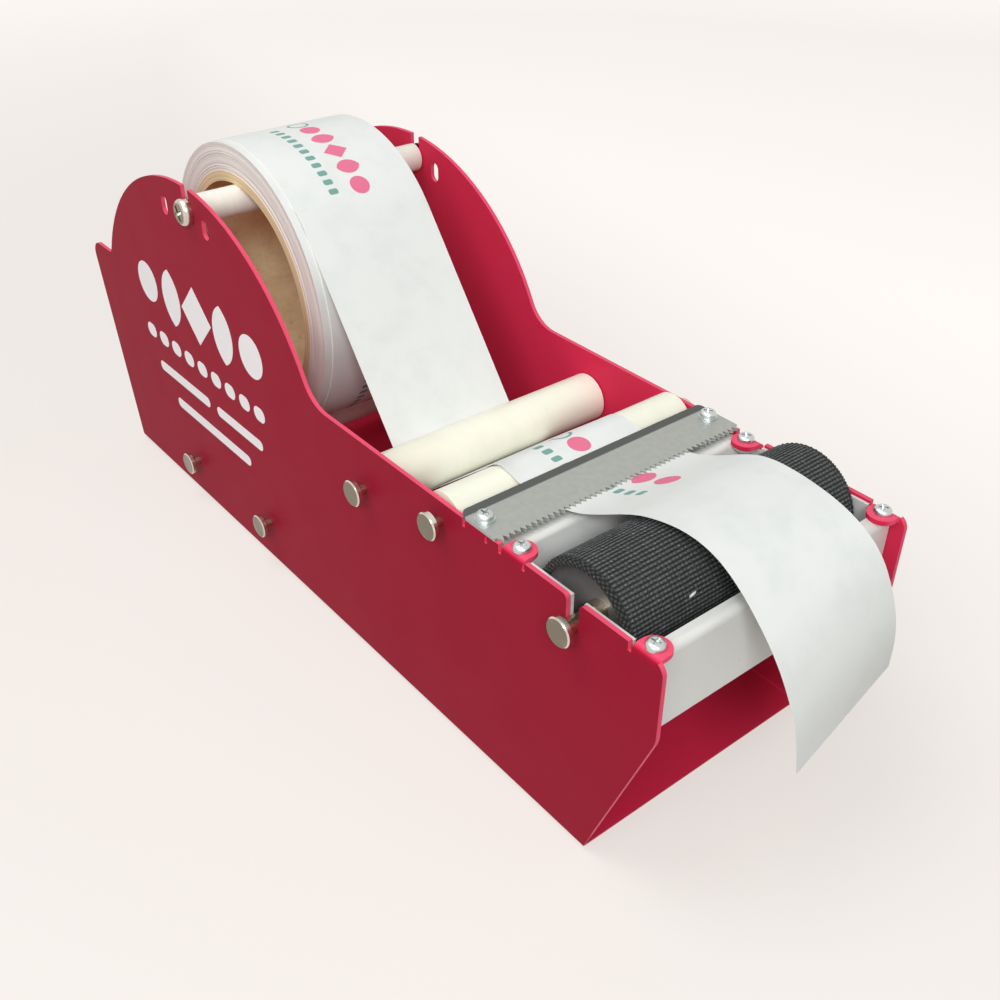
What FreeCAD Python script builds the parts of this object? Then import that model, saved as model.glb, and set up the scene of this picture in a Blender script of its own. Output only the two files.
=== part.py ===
import FreeCAD, Part
import math
import os

os.makedirs("parts", exist_ok=True)

Vector = FreeCAD.Vector

# Counter-top dispenser for gummed paper tape.
# +X points to the right, seen from the front. +Y points to the rear. +Z points up.
# The origin is at the middle of the base's underside.
# Places named ..._FROM_FRONT are measured rearwards from the base's front edge.

# Chassis: one sheet folded to a U, with a tall rounded hump over the tape roll
BASE_LENGTH = 302.0
CHASSIS_WIDTH = 100.0
SHEET = 1.5
BEND_RADIUS = 2.5
RIM_HEIGHT = 89.5
NOSE_OVERHANG = 23.8
NOSE_KINK_DROP = 26.0
NOSE_RADIUS = 4.0
NOSE_KINK_RADIUS = 10.0
REAR_OVERHANG = 17.0
LEDGE_RISE = 2.3
LEDGE_RADIUS = 6.0
LEDGE_FILLET = 3.0
HUMP_BEHIND_AXLE = 4.7
HUMP_ABOVE_AXLE = 8.7
HUMP_RADIUS = 87.0
VALLEY_RADIUS = 14.0
SPARE_SLOT_WIDTH = 4.6
SPARE_SLOT_LENGTH = 7.4
SPARE_SLOT_DROP = 3.0
SPARE_SLOTS_FROM_FRONT = (202.0, 234.0)

# Tabs folded inwards from the plates' top edges
TAB_WIDTH = 9.0
TAB_SCREW_INSET = 3.8
TAB_RELIEF = 1.2
TAB_RELIEF_DEPTH = 0.3
FRONT_TAB_FROM_FRONT = -17.2
REAR_TAB_FROM_FRONT = 34.2
BLADE_TAB_FROM_FRONT = 50.6

# Small screws, washers and the tapped collars that they are driven into
SCREW_DIAMETER = 3.0
SCREW_HEAD_DIAMETER = 5.4
SCREW_HEAD_HEIGHT = 2.0
SCREW_LENGTH = 6.0
TANK_SCREW_LENGTH = 3.9
SCREW_HOLE_GAP = 0.1
THREAD_GAP = 0.01
WASHER_DIAMETER = 6.2
WASHER_THICKNESS = 0.5
COLLAR_WALL = 0.7
COLLAR_HEIGHT = 1.4
CROSS_WIDTH = 0.7
CROSS_SPAN_SHARE = 0.55
CROSS_DEPTH_SHARE = 0.45
HEAD_EDGE_SHARE = 0.35
TIP_SHARE = 0.12
CROSS_ANGLE = 25.0
RIGHT_ANGLE = 90.0

# Cutter blade
BLADE_THICKNESS = 1.0
BLADE_REAR_FROM_FRONT = 57.5
BLADE_TIPS_FROM_FRONT = 39.4
BLADE_LIP_LENGTH = 2.6
BLADE_LIP_RISE = 0.7
BLADE_CORNER_RADIUS = 2.4
TOOTH_PITCH = 2.05
TOOTH_DEPTH = 2.0
TOOTH_MARGIN = 0.8

# Water tank: a sheet trough with end walls that lie inside the plates
TANK_SHEET = 1.0
TANK_SIDE_GAP = 0.3
TANK_FRONT_FROM_FRONT = -19.2
TANK_FLOOR_CLEARANCE = 1.8
TANK_FLOOR_END_FROM_FRONT = 26.0
TANK_RAMP_FROM_FRONT = 38.0
TANK_FLANGE_LENGTH = 6.5
TANK_LIP = 4.4
TANK_BEND_RADIUS = 2.4
TANK_EAR_WIDTH = 7.4
TANK_RIM_DROP = 0.7

# Wetting roller
WET_FROM_FRONT = 9.0
WET_DROP = 8.5
WET_SLOT_WIDTH = 5.0
WET_SLOT_MOUTH_RADIUS = 1.6
WET_JOURNAL_DIAMETER = 4.8
WET_SHAFT_DIAMETER = 7.0
WET_GROOVE_DIAMETER = 4.2
WET_GROOVE_WIDTH = 0.8
WET_STEP_INSET = 5.5
WET_DRUM_RADIUS = 16.8
WET_DRUM_WALL = 1.2
WET_DRUM_END_GAP = 2.5
WET_CAP_RECESS = 6.0
WET_CAP_THICKNESS = 3.0
SLEEVE_THICKNESS = 1.4
SLEEVE_OVERHANG = 0.6
SLEEVE_ROUND = 0.9

# Disc heads that hold every axle outside the plates
DISC_DIAMETER = 9.2
DISC_THICKNESS = 2.2
DISC_BEVEL = 0.4
DISC_STAND_OFF = 3.0
DISC_SOCKET_DEPTH = 1.4
NECK_DIAMETER = 3.6

# Guide rollers that the tape passes, and support rollers at the floor
GUIDE_DIAMETER = 17.6
GUIDE_REAR_FROM_FRONT = 109.0
GUIDE_REAR_DROP = 17.5
GUIDE_FRONT_FROM_FRONT = 67.5
GUIDE_FRONT_DROP = 7.3
SUPPORT_DIAMETER = 15.0
SUPPORT_REAR_FROM_FRONT = 242.0
SUPPORT_REAR_HEIGHT = 17.0
SUPPORT_FRONT_FROM_FRONT = 181.5
SUPPORT_FRONT_HEIGHT = 18.4
PIN_DIAMETER = 6.0
ROLLER_WALL = 2.0
ROLLER_END_GAP = 0.6
BUSH_LENGTH = 8.0
RUNNING_GAP = 0.05
PIN_SHOULDER_GAP = 0.1
NECK_GAP = 0.05

# Roll axle in the hump's open slots
AXLE_FROM_FRONT = 214.8
AXLE_HEIGHT = 134.0
AXLE_SLOT_GAP = 0.1
AXLE_TUBE_DIAMETER = 10.6
AXLE_ROD_DIAMETER = 8.0
AXLE_SCREW_DIAMETER = 5.0
AXLE_SCREW_HEAD_DIAMETER = 10.0
AXLE_SCREW_HEAD_HEIGHT = 3.4
AXLE_SCREW_LENGTH = 14.0
AXLE_CROSS_WIDTH = 1.2
AXLE_FACE_GAP = 0.1

# Tape
TAPE_WIDTH = 50.8
ROLL_DIAMETER = 109.0
WINDING_THICKNESS = 10.4
CORE_WALL = 3.6
ROLL_CENTRE_X = -5.0
BLADE_TAPE_X = 1.0
TAIL_CENTRE_X = 6.6
TAPE_THICKNESS = 0.4
SOFT_GAP = 0.3
TAIL_START_ANGLE = 70.0
TAIL_RADIUS = 42.0
TAIL_TURN = 110.0
TAIL_DROP = 6.0
TAPE_STEP_ANGLE = 8.0

# One overrun serves every cut that passes right through
OVERRUN = 3.0

FRONT = -BASE_LENGTH / 2
HALF_WIDTH = CHASSIS_WIDTH / 2
INNER_HALF = HALF_WIDTH - SHEET
TANK_HALF = INNER_HALF - TANK_SIDE_GAP
NOSE_KINK_HEIGHT = RIM_HEIGHT - NOSE_KINK_DROP
LEDGE_HEIGHT = RIM_HEIGHT + LEDGE_RISE
HUMP_FROM_FRONT = AXLE_FROM_FRONT + HUMP_BEHIND_AXLE
HUMP_HEIGHT = AXLE_HEIGHT + HUMP_ABOVE_AXLE
SPARE_SLOT_HEIGHT = AXLE_HEIGHT - SPARE_SLOT_DROP
GUIDE_REAR_HEIGHT = RIM_HEIGHT - GUIDE_REAR_DROP
GUIDE_FRONT_HEIGHT = RIM_HEIGHT - GUIDE_FRONT_DROP
NECK_END = HALF_WIDTH + DISC_STAND_OFF + DISC_SOCKET_DEPTH
ROLL_RADIUS = ROLL_DIAMETER / 2
CORE_OUTER = ROLL_RADIUS - WINDING_THICKNESS
CORE_INNER = CORE_OUTER - CORE_WALL
ROLL_HEIGHT = AXLE_HEIGHT + AXLE_TUBE_DIAMETER / 2 + SOFT_GAP - CORE_INNER
SLEEVE_RADIUS = WET_DRUM_RADIUS + SLEEVE_THICKNESS
WET_HEIGHT = RIM_HEIGHT - WET_DROP
WET_DRUM_HALF = INNER_HALF - WET_DRUM_END_GAP
WET_STEP_FROM_CENTRE = INNER_HALF - WET_STEP_INSET
TANK_FLOOR_HEIGHT = WET_HEIGHT - SLEEVE_RADIUS - TANK_FLOOR_CLEARANCE - TANK_SHEET
TANK_RAMP_HEIGHT = RIM_HEIGHT - SHEET - TANK_SHEET
SIDES = (-1, 1)


def at(from_front):
    """Place along Y of a point given from the base's front edge."""
    return FRONT + from_front


def save(name, solids):
    """Write one sub-part, one or more separate solids, to its STEP file."""
    solids = solids if isinstance(solids, list) else [solids]
    shape = solids[0] if len(solids) == 1 else Part.makeCompound(solids)
    shape.exportStep("parts/%s.step" % name)


def fuse(shapes):
    """One clean solid out of overlapping ones."""
    whole = shapes[0].fuse(shapes[1:]) if len(shapes) > 1 else shapes[0]
    whole = whole.removeSplitter()
    return whole.Solids[0] if len(whole.Solids) == 1 else whole


def cut(shape, tools):
    """A shape less its tools."""
    whole = shape.cut(tools).removeSplitter()
    return whole.Solids[0] if len(whole.Solids) == 1 else whole


def rod(radius, x0, x1, y, z):
    """Cylinder along X between two places."""
    return Part.makeCylinder(radius, x1 - x0, Vector(x0, y, z), Vector(1, 0, 0))


def ring(outer, inner, x0, x1, y, z):
    """Tube along X between two places."""
    bore = rod(inner, x0 - OVERRUN, x1 + OVERRUN, y, z)
    return cut(rod(outer, x0, x1, y, z), [bore])


def block(x0, x1, y0, y1, z0, z1):
    """Box between two corners."""
    return Part.makeBox(x1 - x0, y1 - y0, z1 - z0, Vector(x0, y0, z0))


def rounded_wire(corners):
    """Closed wire in the YZ plane from (y, z, radius) corners, each rounded by a tangent arc."""
    count = len(corners)
    points = [Vector(0, y, z) for y, z, _ in corners]
    ends = []
    for i, (_, _, radius) in enumerate(corners):
        here = points[i]
        back = (points[i - 1] - here).normalize()
        ahead = (points[(i + 1) % count] - here).normalize()
        if not radius:
            ends.append((here, None, here))
            continue
        half = back.getAngle(ahead) / 2
        reach = radius / math.tan(half)
        middle = here + (back + ahead).normalize() * (radius / math.sin(half) - radius)
        ends.append((here + back * reach, middle, here + ahead * reach))
    edges = []
    for i in range(count):
        start, middle, end = ends[i]
        if middle is not None:
            edges.append(Part.Arc(start, middle, end).toShape())
        edges.append(Part.LineSegment(end, ends[(i + 1) % count][0]).toShape())
    return Part.Wire(Part.__sortEdges__(edges))


def sheet_across(corners, x0, x1):
    """Solid of a YZ outline between two places along X."""
    face = Part.Face(rounded_wire(corners))
    face.translate(Vector(x0, 0, 0))
    return face.extrude(Vector(x1 - x0, 0, 0))


def obround(width, y, z0, z1, x0, x1):
    """Upright slot along X with round ends at heights z0 and z1."""
    half = width / 2
    return fuse([
        rod(half, x0, x1, y, z0),
        rod(half, x0, x1, y, z1),
        block(x0, x1, y - half, y + half, z0, z1),
    ])


def open_slot(width, y, z, top, x0, x1):
    """Slot along X with a round bottom at height z that runs out at the top."""
    half = width / 2
    return fuse([rod(half, x0, x1, y, z), block(x0, x1, y - half, y + half, z, top)])


def rounded_mouth(width, y, z, radius, top, x0, x1):
    """Widening of an open slot at an edge of height z, its two corners rounded."""
    half = width / 2
    whole = block(x0, x1, y - half - radius, y + half + radius, z - radius, top)
    corners = [rod(radius, x0, x1, y + side * (half + radius), z - radius) for side in SIDES]
    return cut(whole, corners)


def plate_outline():
    """Corners of a side plate without its hump."""
    return [
        (at(0), 0, 0),
        (at(BASE_LENGTH), 0, 0),
        (at(BASE_LENGTH + REAR_OVERHANG), LEDGE_HEIGHT, LEDGE_RADIUS),
        (at(HUMP_FROM_FRONT), LEDGE_HEIGHT, 0),
        (at(HUMP_FROM_FRONT), RIM_HEIGHT, 0),
        (at(-NOSE_OVERHANG), RIM_HEIGHT, NOSE_RADIUS),
        (at(-NOSE_OVERHANG), NOSE_KINK_HEIGHT, NOSE_KINK_RADIUS),
    ]


def hump_foot(side, height, radius):
    """Centre of the hollow round between the hump and an edge at a height, with its two ends."""
    middle = (at(HUMP_FROM_FRONT), HUMP_HEIGHT - HUMP_RADIUS)
    reach = HUMP_RADIUS + radius
    rise = height + radius - middle[1]
    centre = (middle[0] + side * math.sqrt(reach ** 2 - rise ** 2), height + radius)
    share = HUMP_RADIUS / reach
    on_hump = tuple(m + (c - m) * share for m, c in zip(middle, centre))
    return centre, (centre[0], height), on_hump


def arc_about(centre, start, end):
    """Short arc about a centre between two points of the YZ plane."""
    radius = math.hypot(start[0] - centre[0], start[1] - centre[1])
    chord = ((start[0] + end[0]) / 2 - centre[0], (start[1] + end[1]) / 2 - centre[1])
    scale = radius / math.hypot(*chord)
    middle = Vector(0, centre[0] + chord[0] * scale, centre[1] + chord[1] * scale)
    return Part.Arc(Vector(0, *start), middle, Vector(0, *end)).toShape()


def hump(x0, x1):
    """Round hump and its hollow feet, down to below the rim."""
    front, front_low, front_high = hump_foot(-1, RIM_HEIGHT, VALLEY_RADIUS)
    rear, rear_low, rear_high = hump_foot(1, LEDGE_HEIGHT, LEDGE_FILLET)
    under = RIM_HEIGHT - VALLEY_RADIUS
    top = Vector(0, at(HUMP_FROM_FRONT), HUMP_HEIGHT)
    corners = [Vector(0, *rear_low), Vector(0, rear_low[0], under), Vector(0, front_low[0], under),
               Vector(0, *front_low)]
    edges = [Part.LineSegment(a, b).toShape() for a, b in zip(corners, corners[1:])]
    edges.append(arc_about(front, front_low, front_high))
    edges.append(Part.Arc(Vector(0, *front_high), top, Vector(0, *rear_high)).toShape())
    edges.append(arc_about(rear, rear_high, rear_low))
    face = Part.Face(Part.Wire(Part.__sortEdges__(edges)))
    face.translate(Vector(x0, 0, 0))
    return face.extrude(Vector(x1 - x0, 0, 0))


def tab_places():
    """Place along Y of each folded tab, with the width of the relief at its front and rear."""
    return [
        (at(FRONT_TAB_FROM_FRONT), 0, TAB_RELIEF),
        (at(REAR_TAB_FROM_FRONT), TAB_RELIEF, TAB_RELIEF),
        (at(BLADE_TAB_FROM_FRONT), TAB_RELIEF, TAB_RELIEF),
    ]


def roller_places():
    """Axis of each roller that turns on a fixed pin."""
    return {
        "guide_roller_rear": (at(GUIDE_REAR_FROM_FRONT), GUIDE_REAR_HEIGHT),
        "guide_roller_front": (at(GUIDE_FRONT_FROM_FRONT), GUIDE_FRONT_HEIGHT),
        "support_roller_rear": (at(SUPPORT_REAR_FROM_FRONT), SUPPORT_REAR_HEIGHT),
        "support_roller_front": (at(SUPPORT_FRONT_FROM_FRONT), SUPPORT_FRONT_HEIGHT),
    }


def folded_sheet():
    """Base and both side plates as one bent sheet, cut to the side outline."""
    top = HUMP_HEIGHT + OVERRUN
    inner_radius = BEND_RADIUS - SHEET
    section = Part.Face(rounded_wire([
        (-HALF_WIDTH, 0, BEND_RADIUS),
        (HALF_WIDTH, 0, BEND_RADIUS),
        (HALF_WIDTH, top, 0),
        (INNER_HALF, top, 0),
        (INNER_HALF, SHEET, inner_radius),
        (-INNER_HALF, SHEET, inner_radius),
        (-INNER_HALF, top, 0),
        (-HALF_WIDTH, top, 0),
    ]))
    section.rotate(Vector(0, 0, 0), Vector(0, 0, 1), -RIGHT_ANGLE)
    front, rear = at(-NOSE_OVERHANG - OVERRUN), at(BASE_LENGTH + REAR_OVERHANG + OVERRUN)
    section.translate(Vector(0, front, 0))
    bent = section.extrude(Vector(0, rear - front, 0))
    left, right = -HALF_WIDTH - OVERRUN, HALF_WIDTH + OVERRUN
    outline = fuse([sheet_across(plate_outline(), left, right), hump(left, right)])
    return bent.common(outline)


def plate_cuts():
    """Slots, holes and tab reliefs, each through both side plates."""
    left, right = -HALF_WIDTH - OVERRUN, HALF_WIDTH + OVERRUN
    slot_width = AXLE_SCREW_DIAMETER + 2 * AXLE_SLOT_GAP
    tools = [
        open_slot(slot_width, at(AXLE_FROM_FRONT), AXLE_HEIGHT, HUMP_HEIGHT + OVERRUN, left, right),
        open_slot(WET_SLOT_WIDTH, at(WET_FROM_FRONT), WET_HEIGHT, RIM_HEIGHT + OVERRUN, left, right),
        rounded_mouth(WET_SLOT_WIDTH, at(WET_FROM_FRONT), RIM_HEIGHT, WET_SLOT_MOUTH_RADIUS,
                      RIM_HEIGHT + OVERRUN, left, right),
    ]
    reach = (SPARE_SLOT_LENGTH - SPARE_SLOT_WIDTH) / 2
    for place in SPARE_SLOTS_FROM_FRONT:
        tools.append(obround(SPARE_SLOT_WIDTH, at(place), SPARE_SLOT_HEIGHT - reach,
                             SPARE_SLOT_HEIGHT + reach, left, right))
    for y, z in roller_places().values():
        tools.append(rod(NECK_DIAMETER / 2 + NECK_GAP, left, right, y, z))
    for y, before, after in tab_places():
        tools.append(block(left, right, y - TAB_WIDTH / 2 - before, y + TAB_WIDTH / 2 + after,
                           RIM_HEIGHT - BEND_RADIUS - TAB_RELIEF_DEPTH, RIM_HEIGHT + OVERRUN))
    return tools


def tab_root(side, y):
    """Upright foot of a tab, between its reliefs."""
    x0 = -HALF_WIDTH if side < 0 else INNER_HALF
    fold = RIM_HEIGHT - BEND_RADIUS
    return block(x0, x0 + SHEET, y - TAB_WIDTH / 2, y + TAB_WIDTH / 2, fold - 2 * TAB_RELIEF_DEPTH, fold)


def folded_tab(side, y):
    """Tab that leaves the plate in a bend and ends in a half circle round its screw."""
    inner_radius = BEND_RADIUS - SHEET
    bend_x = HALF_WIDTH - BEND_RADIUS
    bend_z = RIM_HEIGHT - BEND_RADIUS
    low_z = RIM_HEIGHT - SHEET
    screw_x = HALF_WIDTH - TAB_SCREW_INSET
    end_x = screw_x - TAB_WIDTH / 2
    lean = math.sqrt(2) / 2

    def point(x, z):
        return Vector(side * x, y - TAB_WIDTH / 2, z)

    outer_middle = point(bend_x + BEND_RADIUS * lean, bend_z + BEND_RADIUS * lean)
    inner_middle = point(bend_x + inner_radius * lean, bend_z + inner_radius * lean)
    edges = [
        Part.Arc(point(HALF_WIDTH, bend_z), outer_middle, point(bend_x, RIM_HEIGHT)).toShape(),
        Part.LineSegment(point(bend_x, RIM_HEIGHT), point(end_x, RIM_HEIGHT)).toShape(),
        Part.LineSegment(point(end_x, RIM_HEIGHT), point(end_x, low_z)).toShape(),
        Part.LineSegment(point(end_x, low_z), point(bend_x, low_z)).toShape(),
        Part.Arc(point(bend_x, low_z), inner_middle, point(bend_x + inner_radius, bend_z)).toShape(),
        Part.LineSegment(point(bend_x + inner_radius, bend_z), point(HALF_WIDTH, bend_z)).toShape(),
    ]
    strip = Part.Face(Part.Wire(Part.__sortEdges__(edges))).extrude(Vector(0, TAB_WIDTH, 0))
    low, high = bend_z - OVERRUN, RIM_HEIGHT + OVERRUN
    x0, x1 = sorted((side * (HALF_WIDTH + OVERRUN), side * screw_x))
    plan = fuse([
        block(x0, x1, y - TAB_WIDTH / 2, y + TAB_WIDTH / 2, low, high),
        upright(TAB_WIDTH / 2, side * screw_x, y, low, high),
    ])
    return strip.common(plan)


def upright(radius, x, y, z0, z1):
    """Cylinder along Z between two heights."""
    return Part.makeCylinder(radius, z1 - z0, Vector(x, y, z0))


def screw_columns(places_y):
    """Place in plan of each small screw of a row of tabs, left and right."""
    return [(side * (HALF_WIDTH - TAB_SCREW_INSET), y) for y in places_y for side in SIDES]


def blade_columns():
    """Place in plan of the two screws that hold the blade."""
    return screw_columns([at(BLADE_TAB_FROM_FRONT)])


def tank_columns():
    """Place in plan of the four screws that hold the tank."""
    return screw_columns([at(FRONT_TAB_FROM_FRONT), at(REAR_TAB_FROM_FRONT)])


def chassis():
    """Base and side plates as one folded sheet, with the tabs at the top edges."""
    tabs = [folded_tab(side, y) for side in SIDES for y, _, _ in tab_places()]
    tabs += [tab_root(side, y) for side in SIDES for y, _, _ in tab_places()]
    seat = RIM_HEIGHT - SHEET
    collars = [upright(SCREW_DIAMETER / 2 + COLLAR_WALL, x, y, seat - COLLAR_HEIGHT, seat + SHEET / 2)
               for x, y in blade_columns()]
    body = fuse([cut(folded_sheet(), plate_cuts())] + tabs + collars)
    top, low = RIM_HEIGHT + OVERRUN, seat - COLLAR_HEIGHT - OVERRUN
    tapped = [upright(SCREW_DIAMETER / 2 + THREAD_GAP, x, y, low, top) for x, y in blade_columns()]
    clear = [upright(SCREW_DIAMETER / 2 + SCREW_HOLE_GAP, x, y, low, top) for x, y in tank_columns()]
    return cut(body, tapped + clear)


def inner_line(points, thickness):
    """Open line of (y, z) points moved to its left by a thickness, with mitred corners."""
    moved = []
    for i, (y, z) in enumerate(points):
        normals = []
        for a, b in ((i - 1, i), (i, i + 1)):
            if a >= 0 and b < len(points):
                dy, dz = points[b][0] - points[a][0], points[b][1] - points[a][1]
                length = math.hypot(dy, dz)
                normals.append((-dz / length, dy / length))
        ny, nz = sum(n[0] for n in normals), sum(n[1] for n in normals)
        size = math.hypot(ny, nz)
        ny, nz = ny / size, nz / size
        reach = thickness / (ny * normals[0][0] + nz * normals[0][1])
        moved.append((y + ny * reach, z + nz * reach))
    return moved


def tank_end(side):
    """End wall inside a plate, with its rim between the tabs."""
    x0, x1 = sorted((side * TANK_HALF, side * (TANK_HALF - TANK_SHEET)))
    top = RIM_HEIGHT - SHEET - TANK_SHEET / 2
    wall = sheet_across([
        (at(TANK_FRONT_FROM_FRONT), TANK_FLOOR_HEIGHT, TANK_BEND_RADIUS),
        (at(TANK_FLOOR_END_FROM_FRONT), TANK_FLOOR_HEIGHT, TANK_BEND_RADIUS),
        (at(TANK_RAMP_FROM_FRONT), TANK_RAMP_HEIGHT, 0),
        (at(TANK_RAMP_FROM_FRONT), top, 0),
        (at(TANK_FRONT_FROM_FRONT), top, TANK_BEND_RADIUS),
    ], x0, x1)
    rim = block(x0, x1, at(FRONT_TAB_FROM_FRONT) + TAB_WIDTH / 2 + TAB_RELIEF,
                at(REAR_TAB_FROM_FRONT) - TAB_WIDTH / 2 - TAB_RELIEF, top - TANK_SHEET,
                RIM_HEIGHT - TANK_RIM_DROP)
    return fuse([wall, rim])


def tank_ear(x, y):
    """Ear under a tab, with the tapped collar that takes its screw."""
    reach = HALF_WIDTH - BEND_RADIUS
    outer = math.copysign(reach, x)
    top = RIM_HEIGHT - SHEET
    low = top - TANK_SHEET
    half = TANK_EAR_WIDTH / 2
    ear = fuse([
        block(min(outer, x), max(outer, x), y - half, y + half, low, top),
        upright(half, x, y, low, top),
        upright(SCREW_DIAMETER / 2 + COLLAR_WALL, x, y, low - COLLAR_HEIGHT, top),
    ])
    keep = block(-reach, reach, at(TANK_FRONT_FROM_FRONT) + TANK_SHEET,
                 at(TANK_RAMP_FROM_FRONT), TANK_FLOOR_HEIGHT, RIM_HEIGHT)
    return ear.common(keep)


def water_tank():
    """Trough with a flange under the blade, end walls and ears of one folded and welded sheet."""
    top = RIM_HEIGHT - SHEET
    front = at(TANK_FRONT_FROM_FRONT)
    line = [
        (front + TANK_LIP, top),
        (front, top),
        (front, TANK_FLOOR_HEIGHT),
        (at(TANK_FLOOR_END_FROM_FRONT), TANK_FLOOR_HEIGHT),
        (at(TANK_RAMP_FROM_FRONT), TANK_RAMP_HEIGHT),
        (at(TANK_RAMP_FROM_FRONT) + TANK_FLANGE_LENGTH, TANK_RAMP_HEIGHT),
    ]
    inner = inner_line(line, TANK_SHEET)
    tight, wide = TANK_BEND_RADIUS - TANK_SHEET, TANK_BEND_RADIUS
    line_radii = (0, wide, wide, wide, tight, 0)
    inner_radii = (0, tight, tight, tight, wide, 0)
    outline = [(y, z, radius) for (y, z), radius in zip(line, line_radii)]
    outline += [(y, z, radius) for (y, z), radius in reversed(list(zip(inner, inner_radii)))]
    trough = sheet_across(outline, -TANK_HALF, TANK_HALF)
    walls = [tank_end(side) for side in SIDES]
    ears = [tank_ear(x, y) for x, y in tank_columns()]
    tank = fuse([trough] + walls + ears)
    tools = []
    for side in SIDES:
        x0, x1 = sorted((side * (TANK_HALF + OVERRUN), side * (TANK_HALF - OVERRUN)))
        tools.append(open_slot(WET_SLOT_WIDTH, at(WET_FROM_FRONT), WET_HEIGHT,
                               RIM_HEIGHT + OVERRUN, x0, x1))
        x0, x1 = sorted((side * (HALF_WIDTH - BEND_RADIUS), side * HALF_WIDTH))
        tools.append(block(x0, x1, front - OVERRUN, at(FRONT_TAB_FROM_FRONT) + TAB_WIDTH / 2,
                           top - TANK_SHEET / 2, RIM_HEIGHT))
        tools.append(block(x0, x1, at(REAR_TAB_FROM_FRONT) - TAB_WIDTH / 2,
                           at(TANK_RAMP_FROM_FRONT) + TANK_FLANGE_LENGTH + OVERRUN,
                           top - TANK_SHEET / 2, RIM_HEIGHT))
    for x, y in tank_columns():
        low = top - TANK_SHEET - COLLAR_HEIGHT - OVERRUN
        tools.append(upright(SCREW_DIAMETER / 2 + THREAD_GAP, x, y, low, top + OVERRUN))
    return cut(tank, tools)


def cutter_blade():
    """Toothed blade across the plates, with a lip at its rear that rises under the tape."""
    tips, rear = at(BLADE_TIPS_FROM_FRONT), at(BLADE_REAR_FROM_FRONT)
    roots, bend = tips + TOOTH_DEPTH, rear - BLADE_LIP_LENGTH
    count = int((CHASSIS_WIDTH - 2 * TOOTH_MARGIN) / TOOTH_PITCH)
    start = -count * TOOTH_PITCH / 2
    outline = [Vector(-HALF_WIDTH, bend, RIM_HEIGHT), Vector(-HALF_WIDTH, roots, RIM_HEIGHT),
               Vector(start, roots, RIM_HEIGHT)]
    for i in range(count):
        left = start + i * TOOTH_PITCH
        outline.append(Vector(left + TOOTH_PITCH / 2, tips, RIM_HEIGHT))
        outline.append(Vector(left + TOOTH_PITCH, roots, RIM_HEIGHT))
    outline += [Vector(HALF_WIDTH, roots, RIM_HEIGHT), Vector(HALF_WIDTH, bend, RIM_HEIGHT),
                Vector(-HALF_WIDTH, bend, RIM_HEIGHT)]
    plate = Part.Face(Part.makePolygon(outline)).extrude(Vector(0, 0, BLADE_THICKNESS))
    low, high = RIM_HEIGHT, RIM_HEIGHT + BLADE_THICKNESS
    lip = sheet_across([
        (bend, low, 0),
        (rear, low + BLADE_LIP_RISE, 0),
        (rear, high + BLADE_LIP_RISE, 0),
        (bend, high, 0),
    ], -HALF_WIDTH, HALF_WIDTH)
    corners = [e for e in lip.Edges if e.BoundBox.YMin > rear - BLADE_THICKNESS / 2
               and e.BoundBox.ZMax - e.BoundBox.ZMin > BLADE_THICKNESS / 2]
    blade = fuse([plate, lip.makeFillet(BLADE_CORNER_RADIUS, corners)])
    holes = [upright(SCREW_DIAMETER / 2 + SCREW_HOLE_GAP, x, y, RIM_HEIGHT - OVERRUN,
                     RIM_HEIGHT + BLADE_THICKNESS + OVERRUN) for x, y in blade_columns()]
    return cut(blade, holes)


def pan_screw(diameter, head_diameter, head_height, length, cross):
    """Pan-head screw that stands at the origin, its head above z = 0."""
    edge = head_height * HEAD_EDGE_SHARE
    head = Part.makeCylinder(head_diameter / 2, head_height)
    head = head.makeFillet(head_height - edge, [e for e in head.Edges if e.BoundBox.ZMin > edge])
    shank = Part.makeCylinder(diameter / 2, length, Vector(0, 0, -length))
    tip = [e for e in shank.Edges if e.BoundBox.ZMax < -length / 2]
    shank = shank.makeChamfer(diameter * TIP_SHARE, tip)
    reach = head_diameter * CROSS_SPAN_SHARE / 2
    depth = head_height * CROSS_DEPTH_SHARE
    arms = [
        block(-reach, reach, -cross / 2, cross / 2, head_height - depth, head_height + OVERRUN),
        block(-cross / 2, cross / 2, -reach, reach, head_height - depth, head_height + OVERRUN),
    ]
    return cut(fuse([head, shank]), arms)


def small_screws(places, seat, length):
    """Small screws of a length that stand on a seat at the given places in plan."""
    solids = []
    for x, y in places:
        screw = pan_screw(SCREW_DIAMETER, SCREW_HEAD_DIAMETER, SCREW_HEAD_HEIGHT,
                          length, CROSS_WIDTH)
        screw.rotate(Vector(0, 0, 0), Vector(0, 0, 1), CROSS_ANGLE + math.copysign(CROSS_ANGLE, x) / 2)
        screw.translate(Vector(x, y, seat))
        solids.append(screw)
    return solids


def washers(places, seat):
    """Flat washers on a seat at the given places in plan."""
    solids = []
    for x, y in places:
        outer = upright(WASHER_DIAMETER / 2, x, y, seat, seat + WASHER_THICKNESS)
        bore = upright(SCREW_DIAMETER / 2 + SCREW_HOLE_GAP, x, y, seat - OVERRUN, seat + OVERRUN)
        solids.append(cut(outer, [bore]))
    return solids


def disc_heads(neck, y, z):
    """Two bevelled discs pressed on an axle's necks, one outside each plate."""
    inner = HALF_WIDTH + DISC_STAND_OFF
    outer = inner + DISC_THICKNESS
    disc = rod(DISC_DIAMETER / 2, inner, outer, y, z)
    rims = [e for e in disc.Edges if e.BoundBox.XMax - e.BoundBox.XMin < DISC_BEVEL]
    disc = disc.makeChamfer(DISC_BEVEL, rims)
    disc = cut(disc, [rod(neck / 2, inner - OVERRUN, inner + DISC_SOCKET_DEPTH, y, z)])
    return [disc, disc.mirror(Vector(0, 0, 0), Vector(1, 0, 0))]


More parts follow.
